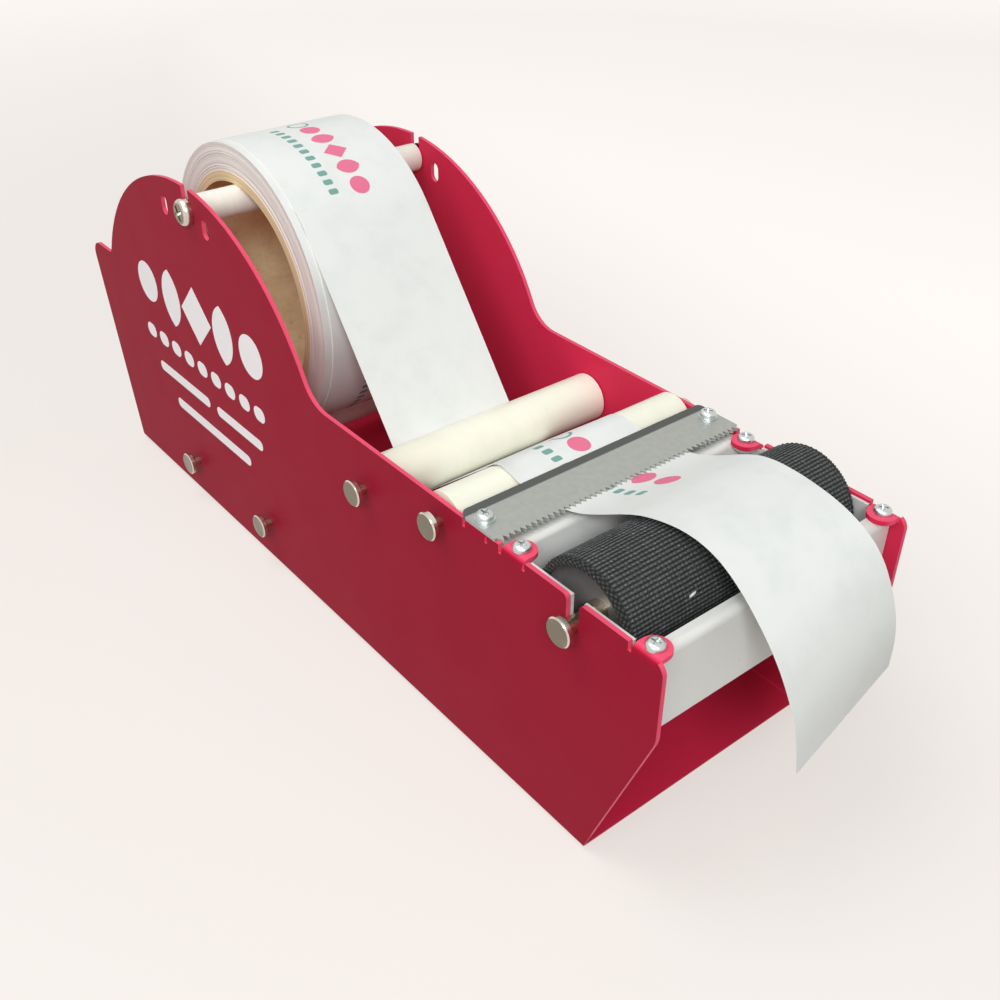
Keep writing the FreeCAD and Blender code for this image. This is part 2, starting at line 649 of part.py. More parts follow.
def fixed_pin(y, z):
    """Roller pin: a shouldered rod whose necks pass both plates."""
    shoulder = INNER_HALF - PIN_SHOULDER_GAP
    body = rod(PIN_DIAMETER / 2, -shoulder, shoulder, y, z)
    return fuse([body, rod(NECK_DIAMETER / 2, -NECK_END, NECK_END, y, z)])


def roller_tube(diameter, y, z):
    """Plastic tube of a roller."""
    reach = INNER_HALF - ROLLER_END_GAP
    return ring(diameter / 2, diameter / 2 - ROLLER_WALL, -reach, reach, y, z)


def roller_bushes(diameter, y, z):
    """End bushes of a roller, which turn on its pin."""
    reach = INNER_HALF - ROLLER_END_GAP
    outer = diameter / 2 - ROLLER_WALL
    bore = PIN_DIAMETER / 2 + RUNNING_GAP
    left = ring(outer, bore, -reach, -reach + BUSH_LENGTH, y, z)
    return [left, ring(outer, bore, reach - BUSH_LENGTH, reach, y, z)]


def wetting_shaft(y, z):
    """Stepped shaft in the open slots, grooved beside each step."""
    step = WET_STEP_FROM_CENTRE
    shaft = fuse([rod(WET_SHAFT_DIAMETER / 2, -step, step, y, z),
                  rod(WET_JOURNAL_DIAMETER / 2, -NECK_END, NECK_END, y, z)])
    grooves = [ring(WET_SHAFT_DIAMETER, WET_GROOVE_DIAMETER / 2, x - WET_GROOVE_WIDTH / 2,
                    x + WET_GROOVE_WIDTH / 2, y, z)
               for x in (-step - WET_GROOVE_WIDTH, step + WET_GROOVE_WIDTH)]
    return cut(shaft, grooves)


def wetting_caps(y, z):
    """End caps sunk in the drum, which turn on the shaft."""
    outer = WET_DRUM_HALF - WET_CAP_RECESS
    inner = outer - WET_CAP_THICKNESS
    radius = WET_DRUM_RADIUS - WET_DRUM_WALL
    bore = WET_SHAFT_DIAMETER / 2 + RUNNING_GAP
    return [ring(radius, bore, -outer, -inner, y, z), ring(radius, bore, inner, outer, y, z)]


def sleeve(y, z):
    """Knitted sleeve over the drum, rolled round both of its rims."""
    half = WET_DRUM_HALF
    end = half + SLEEVE_OVERHANG
    lip = WET_DRUM_RADIUS - WET_DRUM_WALL
    body = ring(SLEEVE_RADIUS, WET_DRUM_RADIUS, -half, half, y, z)
    rims = [ring(SLEEVE_RADIUS, lip, half, end, y, z), ring(SLEEVE_RADIUS, lip, -end, -half, y, z)]
    whole = fuse([body] + rims)
    corners = [e for e in whole.Edges if abs(abs(e.BoundBox.XMax) - end) < SLEEVE_OVERHANG / 2
               and e.BoundBox.ZMax > z + WET_DRUM_RADIUS + SLEEVE_THICKNESS / 2]
    return whole.makeFillet(SLEEVE_ROUND, corners)


def axle_rod():
    """Roll axle: a rod tapped at both ends for its screws."""
    end = INNER_HALF - AXLE_FACE_GAP
    y, z = at(AXLE_FROM_FRONT), AXLE_HEIGHT
    depth = HALF_WIDTH - AXLE_SCREW_LENGTH
    radius = AXLE_SCREW_DIAMETER / 2 + THREAD_GAP
    holes = [rod(radius, depth, end + OVERRUN, y, z), rod(radius, -end - OVERRUN, -depth, y, z)]
    return cut(rod(AXLE_ROD_DIAMETER / 2, -end, end, y, z), holes)


def axle_screws():
    """Large pan-head screws that close the roll axle outside the plates."""
    solids = []
    for side in SIDES:
        screw = pan_screw(AXLE_SCREW_DIAMETER, AXLE_SCREW_HEAD_DIAMETER, AXLE_SCREW_HEAD_HEIGHT,
                          AXLE_SCREW_LENGTH, AXLE_CROSS_WIDTH)
        screw.rotate(Vector(0, 0, 0), Vector(0, 0, 1), CROSS_ANGLE)
        screw.rotate(Vector(0, 0, 0), Vector(0, side, 0), RIGHT_ANGLE)
        screw.translate(Vector(side * (HALF_WIDTH + AXLE_FACE_GAP), at(AXLE_FROM_FRONT), AXLE_HEIGHT))
        solids.append(screw)
    return solids


def heading_between(first, second):
    """Heading of the straight run between two stations, each (y, z, radius, sense of turn)."""
    dy, dz = second[0] - first[0], second[1] - first[1]
    offset = first[2] * first[3] - second[2] * second[3]
    return math.atan2(dz, dy) + math.asin(offset / math.hypot(dy, dz))


def turn_points(station, start, turn, step):
    """Points round a station from a start heading through a turn, both in radians."""
    y, z, radius, sense = station
    count = max(1, int(abs(turn) / step + 1))
    points = []
    for i in range(count + 1):
        angle = start + turn * i / count - sense * math.pi / 2
        points.append((y + radius * math.cos(angle), z + radius * math.sin(angle)))
    return points


def tape_path():
    """Middle line of the free tape as (y, z) points, from the roll to its cut end."""
    clear = SOFT_GAP + TAPE_THICKNESS / 2
    stations = [
        (at(AXLE_FROM_FRONT), ROLL_HEIGHT, ROLL_RADIUS + clear, 1),
        (at(GUIDE_REAR_FROM_FRONT), GUIDE_REAR_HEIGHT, GUIDE_DIAMETER / 2 + clear, -1),
        (at(GUIDE_FRONT_FROM_FRONT), GUIDE_FRONT_HEIGHT, GUIDE_DIAMETER / 2 + clear, 1),
        (at(BLADE_REAR_FROM_FRONT) - BLADE_LIP_LENGTH, RIM_HEIGHT, clear, -1),
        (at(BLADE_TIPS_FROM_FRONT), RIM_HEIGHT, clear, -1),
        (at(WET_FROM_FRONT), WET_HEIGHT, SLEEVE_RADIUS + clear, 1),
    ]
    headings = [heading_between(a, b) % (2 * math.pi) for a, b in zip(stations, stations[1:])]
    tail_start = math.radians(TAIL_START_ANGLE) + math.pi / 2
    headings.append(tail_start)
    step = math.radians(TAPE_STEP_ANGLE)
    points = turn_points(stations[0], headings[0], 0, step)[:1]
    for station, before, after in zip(stations[1:], headings, headings[1:]):
        points += turn_points(station, before, after - before, step)
    wet = stations[-1]
    shift = TAIL_RADIUS - wet[2]
    angle = math.radians(TAIL_START_ANGLE)
    middle = (wet[0] - shift * math.cos(angle), wet[1] - shift * math.sin(angle))
    tail = turn_points((*middle, TAIL_RADIUS, 1), tail_start, math.radians(TAIL_TURN), step)
    points += tail[1:]
    end = points[-1]
    last = tail_start + math.radians(TAIL_TURN)
    points.append((end[0] + TAIL_DROP * math.cos(last), end[1] + TAIL_DROP * math.sin(last)))
    return points


def tape_centre(y):
    """Place across the machine of the tape's middle at a place along Y."""
    places = [(at(AXLE_FROM_FRONT), ROLL_CENTRE_X), (at(GUIDE_REAR_FROM_FRONT), ROLL_CENTRE_X),
              (at(BLADE_TIPS_FROM_FRONT), BLADE_TAPE_X), (at(WET_FROM_FRONT), TAIL_CENTRE_X)]
    if y >= places[0][0]:
        return places[0][1]
    for (y0, x0), (y1, x1) in zip(places, places[1:]):
        if y >= y1:
            return x0 + (x1 - x0) * (y0 - y) / (y0 - y1)
    return places[-1][1]


def tape_web():
    """Free tape as one thin solid with flat facets along its path."""
    middle = tape_path()
    above = inner_line(middle, -TAPE_THICKNESS / 2)
    below = inner_line(middle, TAPE_THICKNESS / 2)
    half = TAPE_WIDTH / 2
    sections = []
    for here, high, low in zip(middle, above, below):
        x = tape_centre(here[0])
        sections.append([Vector(x - half, *high), Vector(x + half, *high),
                         Vector(x + half, *low), Vector(x - half, *low)])
    faces = [Part.Face(Part.makePolygon(s + s[:1])) for s in (sections[0], sections[-1])]
    for a, b in zip(sections, sections[1:]):
        for i in range(len(a)):
            j = (i + 1) % len(a)
            faces.append(Part.Face(Part.makePolygon([a[i], a[j], b[j], a[i]])))
            faces.append(Part.Face(Part.makePolygon([a[i], b[j], b[i], a[i]])))
    shell = Part.Shell(faces)
    solid = Part.Solid(shell)
    if solid.Volume < 0:
        solid.reverse()
    return solid


def main():
    """Build every sub-part and write its file."""
    save("chassis", chassis())
    save("water_tank", water_tank())
    save("cutter_blade", cutter_blade())
    save("blade_washers", washers(blade_columns(), RIM_HEIGHT + BLADE_THICKNESS))
    blade_seat = RIM_HEIGHT + BLADE_THICKNESS + WASHER_THICKNESS
    save("blade_screws", small_screws(blade_columns(), blade_seat, SCREW_LENGTH))
    save("tank_screws", small_screws(tank_columns(), RIM_HEIGHT, TANK_SCREW_LENGTH))
    for name, (y, z) in roller_places().items():
        diameter = GUIDE_DIAMETER if name.startswith("guide") else SUPPORT_DIAMETER
        save(name, roller_tube(diameter, y, z))
        save(name.replace("roller", "bushes"), roller_bushes(diameter, y, z))
        save(name.replace("roller", "pin"), fixed_pin(y, z))
        save(name.replace("roller", "pin_heads"), disc_heads(NECK_DIAMETER, y, z))
    wet = (at(WET_FROM_FRONT), WET_HEIGHT)
    half = WET_DRUM_HALF
    save("wetting_shaft", wetting_shaft(*wet))
    save("wetting_shaft_heads", disc_heads(WET_JOURNAL_DIAMETER, *wet))
    save("wetting_drum", ring(WET_DRUM_RADIUS, WET_DRUM_RADIUS - WET_DRUM_WALL, -half, half, *wet))
    save("wetting_drum_caps", wetting_caps(*wet))
    save("wetting_sleeve", sleeve(*wet))
    axle = (at(AXLE_FROM_FRONT), AXLE_HEIGHT)
    reach = INNER_HALF - ROLLER_END_GAP
    save("roll_axle_rod", axle_rod())
    save("roll_axle_screws", axle_screws())
    bore = AXLE_ROD_DIAMETER / 2 + RUNNING_GAP
    save("roll_axle_tube", ring(AXLE_TUBE_DIAMETER / 2, bore, -reach, reach, *axle))
    roll = (at(AXLE_FROM_FRONT), ROLL_HEIGHT)
    left, right = ROLL_CENTRE_X - TAPE_WIDTH / 2, ROLL_CENTRE_X + TAPE_WIDTH / 2
    save("tape_core", ring(CORE_OUTER, CORE_INNER, left, right, *roll))
    save("tape_roll", ring(ROLL_RADIUS, CORE_OUTER, left, right, *roll))
    save("tape_web", tape_web())


main()
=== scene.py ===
"""Looks of a counter-top dispenser for gummed paper tape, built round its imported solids.

The object's frame: +X to the right seen from the front, +Y to the rear, +Z up, origin in the middle of the
base's underside. Every length is in metres.
"""

import logging
import math
from dataclasses import dataclass
from enum import Enum
from typing import Any, Callable, Iterable, Sequence, Union

import bmesh
import bpy
import numpy as np
from mathutils import Matrix, Vector

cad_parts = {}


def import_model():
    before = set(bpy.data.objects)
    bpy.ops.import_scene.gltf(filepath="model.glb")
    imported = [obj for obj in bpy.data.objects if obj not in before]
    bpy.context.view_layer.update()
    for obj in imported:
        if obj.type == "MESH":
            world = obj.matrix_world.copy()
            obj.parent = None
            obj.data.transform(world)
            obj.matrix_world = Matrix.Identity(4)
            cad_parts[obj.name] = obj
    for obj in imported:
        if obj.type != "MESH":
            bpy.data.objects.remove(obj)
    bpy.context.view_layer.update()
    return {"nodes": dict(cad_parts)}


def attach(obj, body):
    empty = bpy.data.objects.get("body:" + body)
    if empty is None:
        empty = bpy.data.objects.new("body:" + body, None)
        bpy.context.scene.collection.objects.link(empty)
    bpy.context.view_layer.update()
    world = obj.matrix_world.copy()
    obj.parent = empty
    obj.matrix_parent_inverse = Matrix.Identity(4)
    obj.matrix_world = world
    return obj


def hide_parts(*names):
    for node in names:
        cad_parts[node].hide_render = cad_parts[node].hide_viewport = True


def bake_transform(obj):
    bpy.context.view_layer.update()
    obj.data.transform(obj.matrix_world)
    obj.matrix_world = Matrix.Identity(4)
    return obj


LOG = logging.getLogger("tape_dispenser")

MM = 0.001
FRONT = -151 * MM
RIM_HEIGHT = 89.5 * MM
PLATE_FACE = 50 * MM
ROLL_Y = 63.8 * MM
ROLL_Z = 99.1 * MM
ROLL_RADIUS = 54.5 * MM
GUIDE_REAR_Y = FRONT + 109.0 * MM
GUIDE_FRONT_Y = FRONT + 67.5 * MM
BLADE_BEND_Y = FRONT + 54.9 * MM
BLADE_TIPS_Y = FRONT + 39.4 * MM
WETTING_Y = FRONT + 9.0 * MM
WETTING_Z = RIM_HEIGHT - 8.5 * MM
KNIT_RIBS = 88
KNIT_KNOTS = 58
KNOT_PITCH = 1.9 * MM

Number = Union[float, "Link"]
Colour = tuple[float, float, float, float]
Outline = list[tuple[float, float]]
Values = dict[str | int, Any]
Piece = bpy.types.Object
Nodes = dict[str, bpy.types.Object]


def operator(operation: str, swapped: bool = False) -> Callable[["Link", Number], "Link"]:
    """Make a method that adds one Math node.

    Args:
        operation: Blender's name of the operation.
        swapped: True where the link is the second term.

    Returns:
        The method.
    """

    def method(link: "Link", other: Number) -> "Link":
        terms = (other, link) if swapped else (link, other)
        return link.graph.math(operation, *terms)

    return method


class Link:
    """An output of a node tree. On a number, the usual operators add Math nodes."""

    def __init__(self, graph: "Graph", socket: bpy.types.NodeSocket) -> None:
        """Keep the tree and the socket."""
        self.graph = graph
        self.socket = socket

    __add__ = __radd__ = operator("ADD")
    __sub__ = operator("SUBTRACT")
    __rsub__ = operator("SUBTRACT", swapped=True)
    __mul__ = __rmul__ = operator("MULTIPLY")
    __pow__ = operator("POWER")
    __mod__ = operator("FLOORED_MODULO")
    at_least = operator("MAXIMUM")
    at_most = operator("MINIMUM")

    def __abs__(self) -> "Link":
        """Size without its sign."""
        return self.graph.math("ABSOLUTE", self)

    def cosine(self) -> "Link":
        """Cosine of an angle in radians."""
        return self.graph.math("COSINE", self)


def apart(first: Link, second: Link) -> Link:
    """Distance over two steps at a right angle."""
    return (first * first + second * second) ** 0.5


def knots(angle: Link, out: Link, count: Number) -> Link:
    """Pattern of the knots on the knitted rims, from -1 between them to 1 at their middles."""
    return (angle * count).cosine() * (out * (2 * math.pi / KNOT_PITCH)).cosine()


class Graph:
    """Makes the nodes of one tree."""

    def __init__(self, tree: bpy.types.NodeTree) -> None:
        """Keep an emptied tree."""
        tree.nodes.clear()
        self.tree = tree

    def node(self, kind: str, settings: Values | None = None, inputs: Values | None = None) -> bpy.types.Node:
        """Add one node.

        Args:
            kind: Blender's name of the node's type.
            settings: Properties, set first.
            inputs: Values or links of the sockets, by name or number.

        Returns:
            The node.
        """
        node = self.tree.nodes.new(kind)
        for name, value in (settings or {}).items():
            setattr(node, name, value)
        for name, value in (inputs or {}).items():
            if isinstance(value, Link):
                self.tree.links.new(value.socket, node.inputs[name])
            else:
                node.inputs[name].default_value = value
        return node

    def link(self, kind: str, settings: Values | None = None, inputs: Values | None = None,
             output: str | int = 0) -> Link:
        """Add one node and take one of its outputs."""
        return Link(self, self.node(kind, settings, inputs).outputs[output])

    def math(self, operation: str, *terms: Number) -> Link:
        """Add one Math node."""
        return self.link("ShaderNodeMath", {"operation": operation}, dict(enumerate(terms)))

    def split(self, vector: Link) -> list[Link]:
        """The three numbers of a vector."""
        node = self.node("ShaderNodeSeparateXYZ", None, {0: vector})
        return [Link(self, output) for output in node.outputs]

    def rise(self, value: Link, low: float, high: float) -> Link:
        """Smooth step from 0 at low to 1 at high."""
        return self.link("ShaderNodeMapRange", {"interpolation_type": "SMOOTHSTEP", "clamp": True},
                         {"Value": value, "From Min": low, "From Max": high})


class Shader(Graph):
    """Makes the nodes of one material."""

    def place(self) -> Link:
        """Place on the object, in metres."""
        return self.link("ShaderNodeTexCoord", output="Object")

    def facing(self) -> Link:
        """Direction that the surface faces, on the object."""
        return self.link("ShaderNodeTexCoord", output="Normal")

    def joined(self, x: Number, y: Number, z: Number) -> Link:
        """A vector of three numbers."""
        return self.link("ShaderNodeCombineXYZ", None, {0: x, 1: y, 2: z})

    def scaled(self, vector: Link, scale: tuple[float, float, float]) -> Link:
        """A vector stretched along each axis."""
        return self.link("ShaderNodeVectorMath", {"operation": "MULTIPLY"}, {0: vector, 1: scale})

    def noise(self, vector: Link, scale: float, detail: float = 2.0, rough: float = 0.5) -> Link:
        """Smooth noise from 0 to 1."""
        return self.link("ShaderNodeTexNoise", None,
                         {"Vector": vector, "Scale": scale, "Detail": detail, "Roughness": rough})

    def blend(self, share: Number, low: Any, high: Any) -> Link:
        """Colour between two, low at share 0 and high at share 1."""
        return self.link("ShaderNodeMix", {"data_type": "RGBA"}, {0: share, 6: low, 7: high}, output=2)

    def bump(self, height: Link, depth: float, strength: float = 1.0, normal: Link | None = None) -> Link:
        """Normal of a surface raised by a height from 0 to 1, times a depth in metres."""
        inputs: Values = {"Height": height, "Distance": depth, "Strength": strength}
        if normal is not None:
            inputs["Normal"] = normal
        return self.link("ShaderNodeBump", None, inputs)

    def radius(self, place: Link, y: float, z: float) -> Link:
        """Distance from an axis along X."""
        _, py, pz = self.split(place)
        return apart(py - y, pz - z)


def shade(red: int, green: int, blue: int) -> Colour:
    """Linear colour of a screen colour with steps of 0 to 255."""

    def linear(step: int) -> float:
        share = step / 255
        return share / 12.92 if share <= 0.04045 else ((share + 0.055) / 1.055) ** 2.4

    return (linear(red), linear(green), linear(blue), 1.0)


@dataclass(frozen=True)
class Finish:
    """A finish that makes one material."""

    name: str

    def paint(self, g: Shader) -> Values:
        """Shader inputs by socket name."""
        raise NotImplementedError

    def build(self) -> bpy.types.Material:
        """Make the material."""
        material = bpy.data.materials.new(self.name)
        material.use_nodes = True
        g = Shader(material.node_tree)
        surface = g.link("ShaderNodeBsdfPrincipled", None, self.paint(g))
        g.node("ShaderNodeOutputMaterial", None, {"Surface": surface})
        return material


@dataclass(frozen=True)
class PowderCoat(Finish):
    """Crimson powder coat with a fine orange peel; painted lighter inside the frame as painted bounce light,
    and lighter along edges, partly a thinner coat and partly a painted highlight.
    """

    body: Colour = shade(156, 24, 49)
    deep: Colour = shade(149, 18, 43)
    # painted light: the frame's inner faces get this lighter colour, standing in for the light that bounces
    # inside the frame
    inside: Colour = shade(208, 44, 76)
    # partly a thinner coat at the edges, partly a painted highlight on the edges that catch the light; also
    # the tone of the light specks
    edge: Colour = shade(240, 90, 120)

    def paint(self, g: Shader) -> Values:
        """Shader inputs by socket name."""
        place = g.place()
        across, _, _ = g.split(g.facing())
        x, _, height = g.split(place)
        above = g.rise(height, 0.004, 0.012)
        # painted highlight, partly a thinner coat: faces that don't face along X, above the base, are painted
        # lighter
        edge = g.rise(1 - abs(across), 0.25, 0.75) * above
        # painted light: mask of the faces inside the frame, which get the lighter inside colour
        lit_inside_mask = g.rise(PLATE_FACE - abs(x), 0.3 * MM, 0.9 * MM)
        cloud = g.noise(place, 9.0, 3.0)
        speck = g.rise(g.noise(place, 1500.0, 1.0), 0.66, 0.74)
        base = g.blend(cloud * 0.55, self.body, self.deep)
        base = g.blend(speck * 0.10, g.blend(lit_inside_mask, base, self.inside), self.edge)
        peel = g.noise(place, 620.0, 2.0)
        fine = g.noise(place, 2600.0, 1.0)
        return {
            "Base Color": g.blend(edge * 0.8, base, self.edge),
            "Roughness": 0.44 + 0.10 * g.noise(place, 60.0, 3.0) - 0.10 * edge,
            "Specular IOR Level": 0.06,
            "Normal": g.bump(peel * 0.7 + fine * 0.3, 0.00005, 0.5),
        }


@dataclass(frozen=True)
class PrintInk(Finish):
    """White screen-printed ink, slightly uneven."""

    ink: Colour = shade(247, 244, 245)

    def paint(self, g: Shader) -> Values:
        """Shader inputs by socket name."""
        place = g.place()
        pores = g.rise(g.noise(place, 1900.0, 2.0), 0.70, 0.80)
        return {
            "Base Color": g.blend(pores * 0.35, self.ink, shade(205, 150, 162)),
            "Roughness": 0.48 + 0.08 * g.noise(place, 300.0),
            "Normal": g.bump(g.noise(place, 900.0, 2.0), 0.00003, 0.4),
        }


@dataclass(frozen=True)
class BareSheet(Finish):
    """Bare rolled sheet: fine rolling lines along X with soft cloudy patches."""

    light: Colour = shade(226, 228, 225)
    dark: Colour = shade(212, 212, 208)

    def paint(self, g: Shader) -> Values:
        """Shader inputs by socket name."""
        place = g.place()
        lines = g.noise(g.scaled(place, (6.0, 900.0, 900.0)), 1.0, 3.0)
        cloud = g.noise(place, 17.0, 3.0, 0.5)
        specks = g.rise(g.noise(place, 700.0, 2.0), 0.68, 0.76)
        base = g.blend(g.rise(cloud, 0.38, 0.66), self.light, self.dark)
        return {
            "Base Color": g.blend(specks * 0.2, base, shade(150, 150, 146)),
            "Metallic": 0.22,
            "Roughness": 0.40 + 0.10 * cloud + 0.06 * lines,
            "Normal": g.bump(lines, 0.00002, 0.3),
        }


@dataclass(frozen=True)
class BladeSteel(Finish):
    """Satin hardened strip, mottled, with a dark band along its raised rear lip."""

    light: Colour = shade(176, 181, 177)
    dark: Colour = shade(164, 169, 165)
    lip: Colour = shade(80, 84, 82)
    lip_half_step: float = 0.3 * MM

    def paint(self, g: Shader) -> Values:
        """Shader inputs by socket name."""
        place = g.place()
        _, along, _ = g.split(place)
        mottle = g.noise(place, 420.0, 4.0, 0.62)
        grain = g.noise(g.scaled(place, (260.0, 40.0, 260.0)), 6.0, 3.0)
        band = g.rise(along, BLADE_BEND_Y - self.lip_half_step, BLADE_BEND_Y + self.lip_half_step)
        base = g.blend(g.rise(mottle, 0.36, 0.66) * 0.5, self.light, self.dark)
        specks = g.rise(g.noise(place, 1300.0, 2.0), 0.66, 0.74)
        base = g.blend(specks * 0.2, base, shade(130, 132, 128))
        return {
            "Base Color": g.blend(band * 0.92, base, self.lip),
            "Metallic": 0.80,
            "Roughness": 0.42 + 0.04 * mottle + 0.08 * band,
            "Normal": g.bump(grain, 0.00002, 0.3),
        }


@dataclass(frozen=True)
class Plated(Finish):
    """Plated or turned metal with faint turning rings and a soft tarnish; where set, faces across X are
    painted darker as painted shade, leaving the rims lighter as a painted highlight.
    """

    light: Colour = shade(214, 214, 210)
    dark: Colour = shade(168, 166, 158)
    roughness: float = 0.22
    depth: float = 0.00001
    # painted shade: share by which faces across X are painted darker than the rims, which then read as
    # painted highlights
    painted_face_shade: float = 0.0
    metallic: float = 1.0

    def paint(self, g: Shader) -> Values:
        """Shader inputs by socket name."""
        place = g.place()
        haze = g.noise(place, 260.0, 4.0, 0.6)
        rings = g.noise(g.scaled(place, (900.0, 30.0, 30.0)), 4.0, 2.0)
        sheen = g.rise(g.noise(place, 55.0, 1.0), 0.3, 0.7) * 0.25
        # painted shade on faces across X, with the rims left lighter as a painted highlight
        shaded_face = g.rise(abs(g.split(g.facing())[0]), 0.80, 0.98) * self.painted_face_shade
        tone = (g.rise(haze, 0.30, 0.75) * 0.25 + shaded_face * (1 - sheen) + sheen * 0.5).at_most(1.0)
        return {
            "Base Color": g.blend(tone, self.light, self.dark),
            "Metallic": self.metallic,
            "Roughness": self.roughness + 0.08 * haze,
            "Normal": g.bump(rings * 0.7 + haze * 0.3, self.depth, 0.4),
        }


@dataclass(frozen=True)
class TurnedPlastic(Finish):
    """Satin plastic tube with faint drawing lines along X and light scuffs round it."""

    base: Colour = shade(242, 242, 225)
    worn: Colour = shade(231, 229, 208)
    roughness: float = 0.34

    def paint(self, g: Shader) -> Values:
        """Shader inputs by socket name."""
        place = g.place()
        drawn = g.noise(g.scaled(place, (8.0, 700.0, 700.0)), 1.0, 3.0)
        scuff = g.rise(g.noise(g.scaled(place, (420.0, 60.0, 60.0)), 1.0, 4.0, 0.62), 0.55, 0.72)
        cloud = g.noise(place, 45.0, 3.0)
        base = g.blend(g.rise(cloud, 0.4, 0.7) * 0.6, self.base, self.worn)
        return {
            "Base Color": g.blend(scuff * 0.30, base, self.worn),
            "Roughness": self.roughness + 0.10 * scuff + 0.06 * drawn,
            "Coat Weight": 0.12,
            "Coat Roughness": 0.18,
            "Normal": g.bump(drawn * 0.7 + scuff * 0.3, 0.00003, 0.35),
        }


@dataclass(frozen=True)
class Knit(Finish):
    """Dark knitted yarn with fuzz: rows of stitches along X with dark grooves, and knots on its rims."""

    yarn: Colour = shade(104, 110, 110)
    shadow: Colour = shade(3, 4, 5)
    fuzz: Colour = shade(156, 162, 162)
    rim_start: float = 44.9 * MM
    pitch: float = 1.45 * MM

    def stitches(self, g: Shader, turn: Link, x: Link, place: Link) -> Link:
        """Height of rows of V-shaped stitches, with a dark hole between neighbouring tips."""
        lean = abs(((turn + (g.noise(place, 260.0) - 0.5) * 0.25) % 1.0) - 0.5) * 2.0
        loose = x + (g.noise(place, 420.0, 2.0) - 0.5) * (0.7 * MM)
        chain = g.rise(lean, 0.16, 0.66)
        leg = g.rise((loose * (2 * math.pi / self.pitch) + lean * 2.6).cosine(), -1.0, 0.2)
        loop = 0.50 + 0.32 * leg + 0.34 * g.noise(place, 1500.0, 2.0)
        return chain * loop + (1 - chain) * leg * 0.22

    def paint(self, g: Shader) -> Values:
        """Shader inputs by socket name."""
        place = g.place()
        x, y, z = g.split(place)
        angle = g.math("ARCTAN2", z - WETTING_Z, y - WETTING_Y)
        turn = angle * (KNIT_RIBS / (2 * math.pi))
        out = abs(x) - g.radius(place, WETTING_Y, WETTING_Z)
        braid = g.rise(knots(angle, out, KNIT_KNOTS), -0.5, 0.9)
        rim = g.rise(abs(x), self.rim_start - 0.3 * MM, self.rim_start + 0.3 * MM)
        height = self.stitches(g, turn, x, place) * (1 - rim) + braid * 0.7 * rim
        fibre = g.noise(place, 2600.0, 3.0, 0.75)
        fuzz = g.rise(g.noise(place, 1100.0, 3.0, 0.7), 0.56, 0.68)
        tone = (height ** 2.2) * (0.3 + 0.9 * g.rise(fibre, 0.35, 0.68))
        yarn = g.blend(tone.at_most(1.0), self.shadow, self.yarn)
        return {
            "Base Color": g.blend(fuzz * (0.10 + 0.90 * height) * 0.5, yarn, self.fuzz),
            "Roughness": 0.86 + 0.10 * fibre,
            "Sheen Weight": 0.05,
            "Sheen Roughness": 0.5,
            "Normal": g.bump(height * 0.75 + fibre * 0.25, 0.0007, 1.0),
        }


@dataclass(frozen=True)
class Board(Finish):
    """Wound tan board of the core: mottled fibres, and cut ends that show its plies."""

    light: Colour = shade(250, 240, 194)
    dark: Colour = shade(232, 216, 166)
    end: Colour = shade(236, 216, 174)

    def paint(self, g: Shader) -> Values:
        """Shader inputs by socket name."""
        place = g.place()
        fibres = g.noise(g.scaled(place, (160.0, 420.0, 420.0)), 1.0, 5.0, 0.65)
        cloud = g.noise(place, 48.0, 4.0, 0.6)
        speck = g.rise(g.noise(place, 900.0, 2.0), 0.64, 0.74)
        base = g.blend(g.rise(cloud, 0.32, 0.70), self.light, self.dark)
        base = g.blend(g.rise(fibres, 0.45, 0.75) * 0.20, base, shade(170, 136, 98))
        base = g.blend(speck * 0.3, base, shade(130, 102, 76))
        facing_end = g.rise(abs(g.split(g.facing())[0]), 0.5, 0.9)
        plies = g.noise(g.joined(g.radius(place, ROLL_Y, ROLL_Z) * 2600.0, 0.0, 0.0), 1.0, 2.0)
        ends = g.blend(g.rise(plies, 0.45, 0.60) * 0.6, self.end, shade(176, 142, 100))
        return {
            "Base Color": g.blend(facing_end, base, ends),
            "Roughness": 0.86,
            "Normal": g.bump(fibres * 0.6 + cloud * 0.4, 0.00015, 0.7),
        }


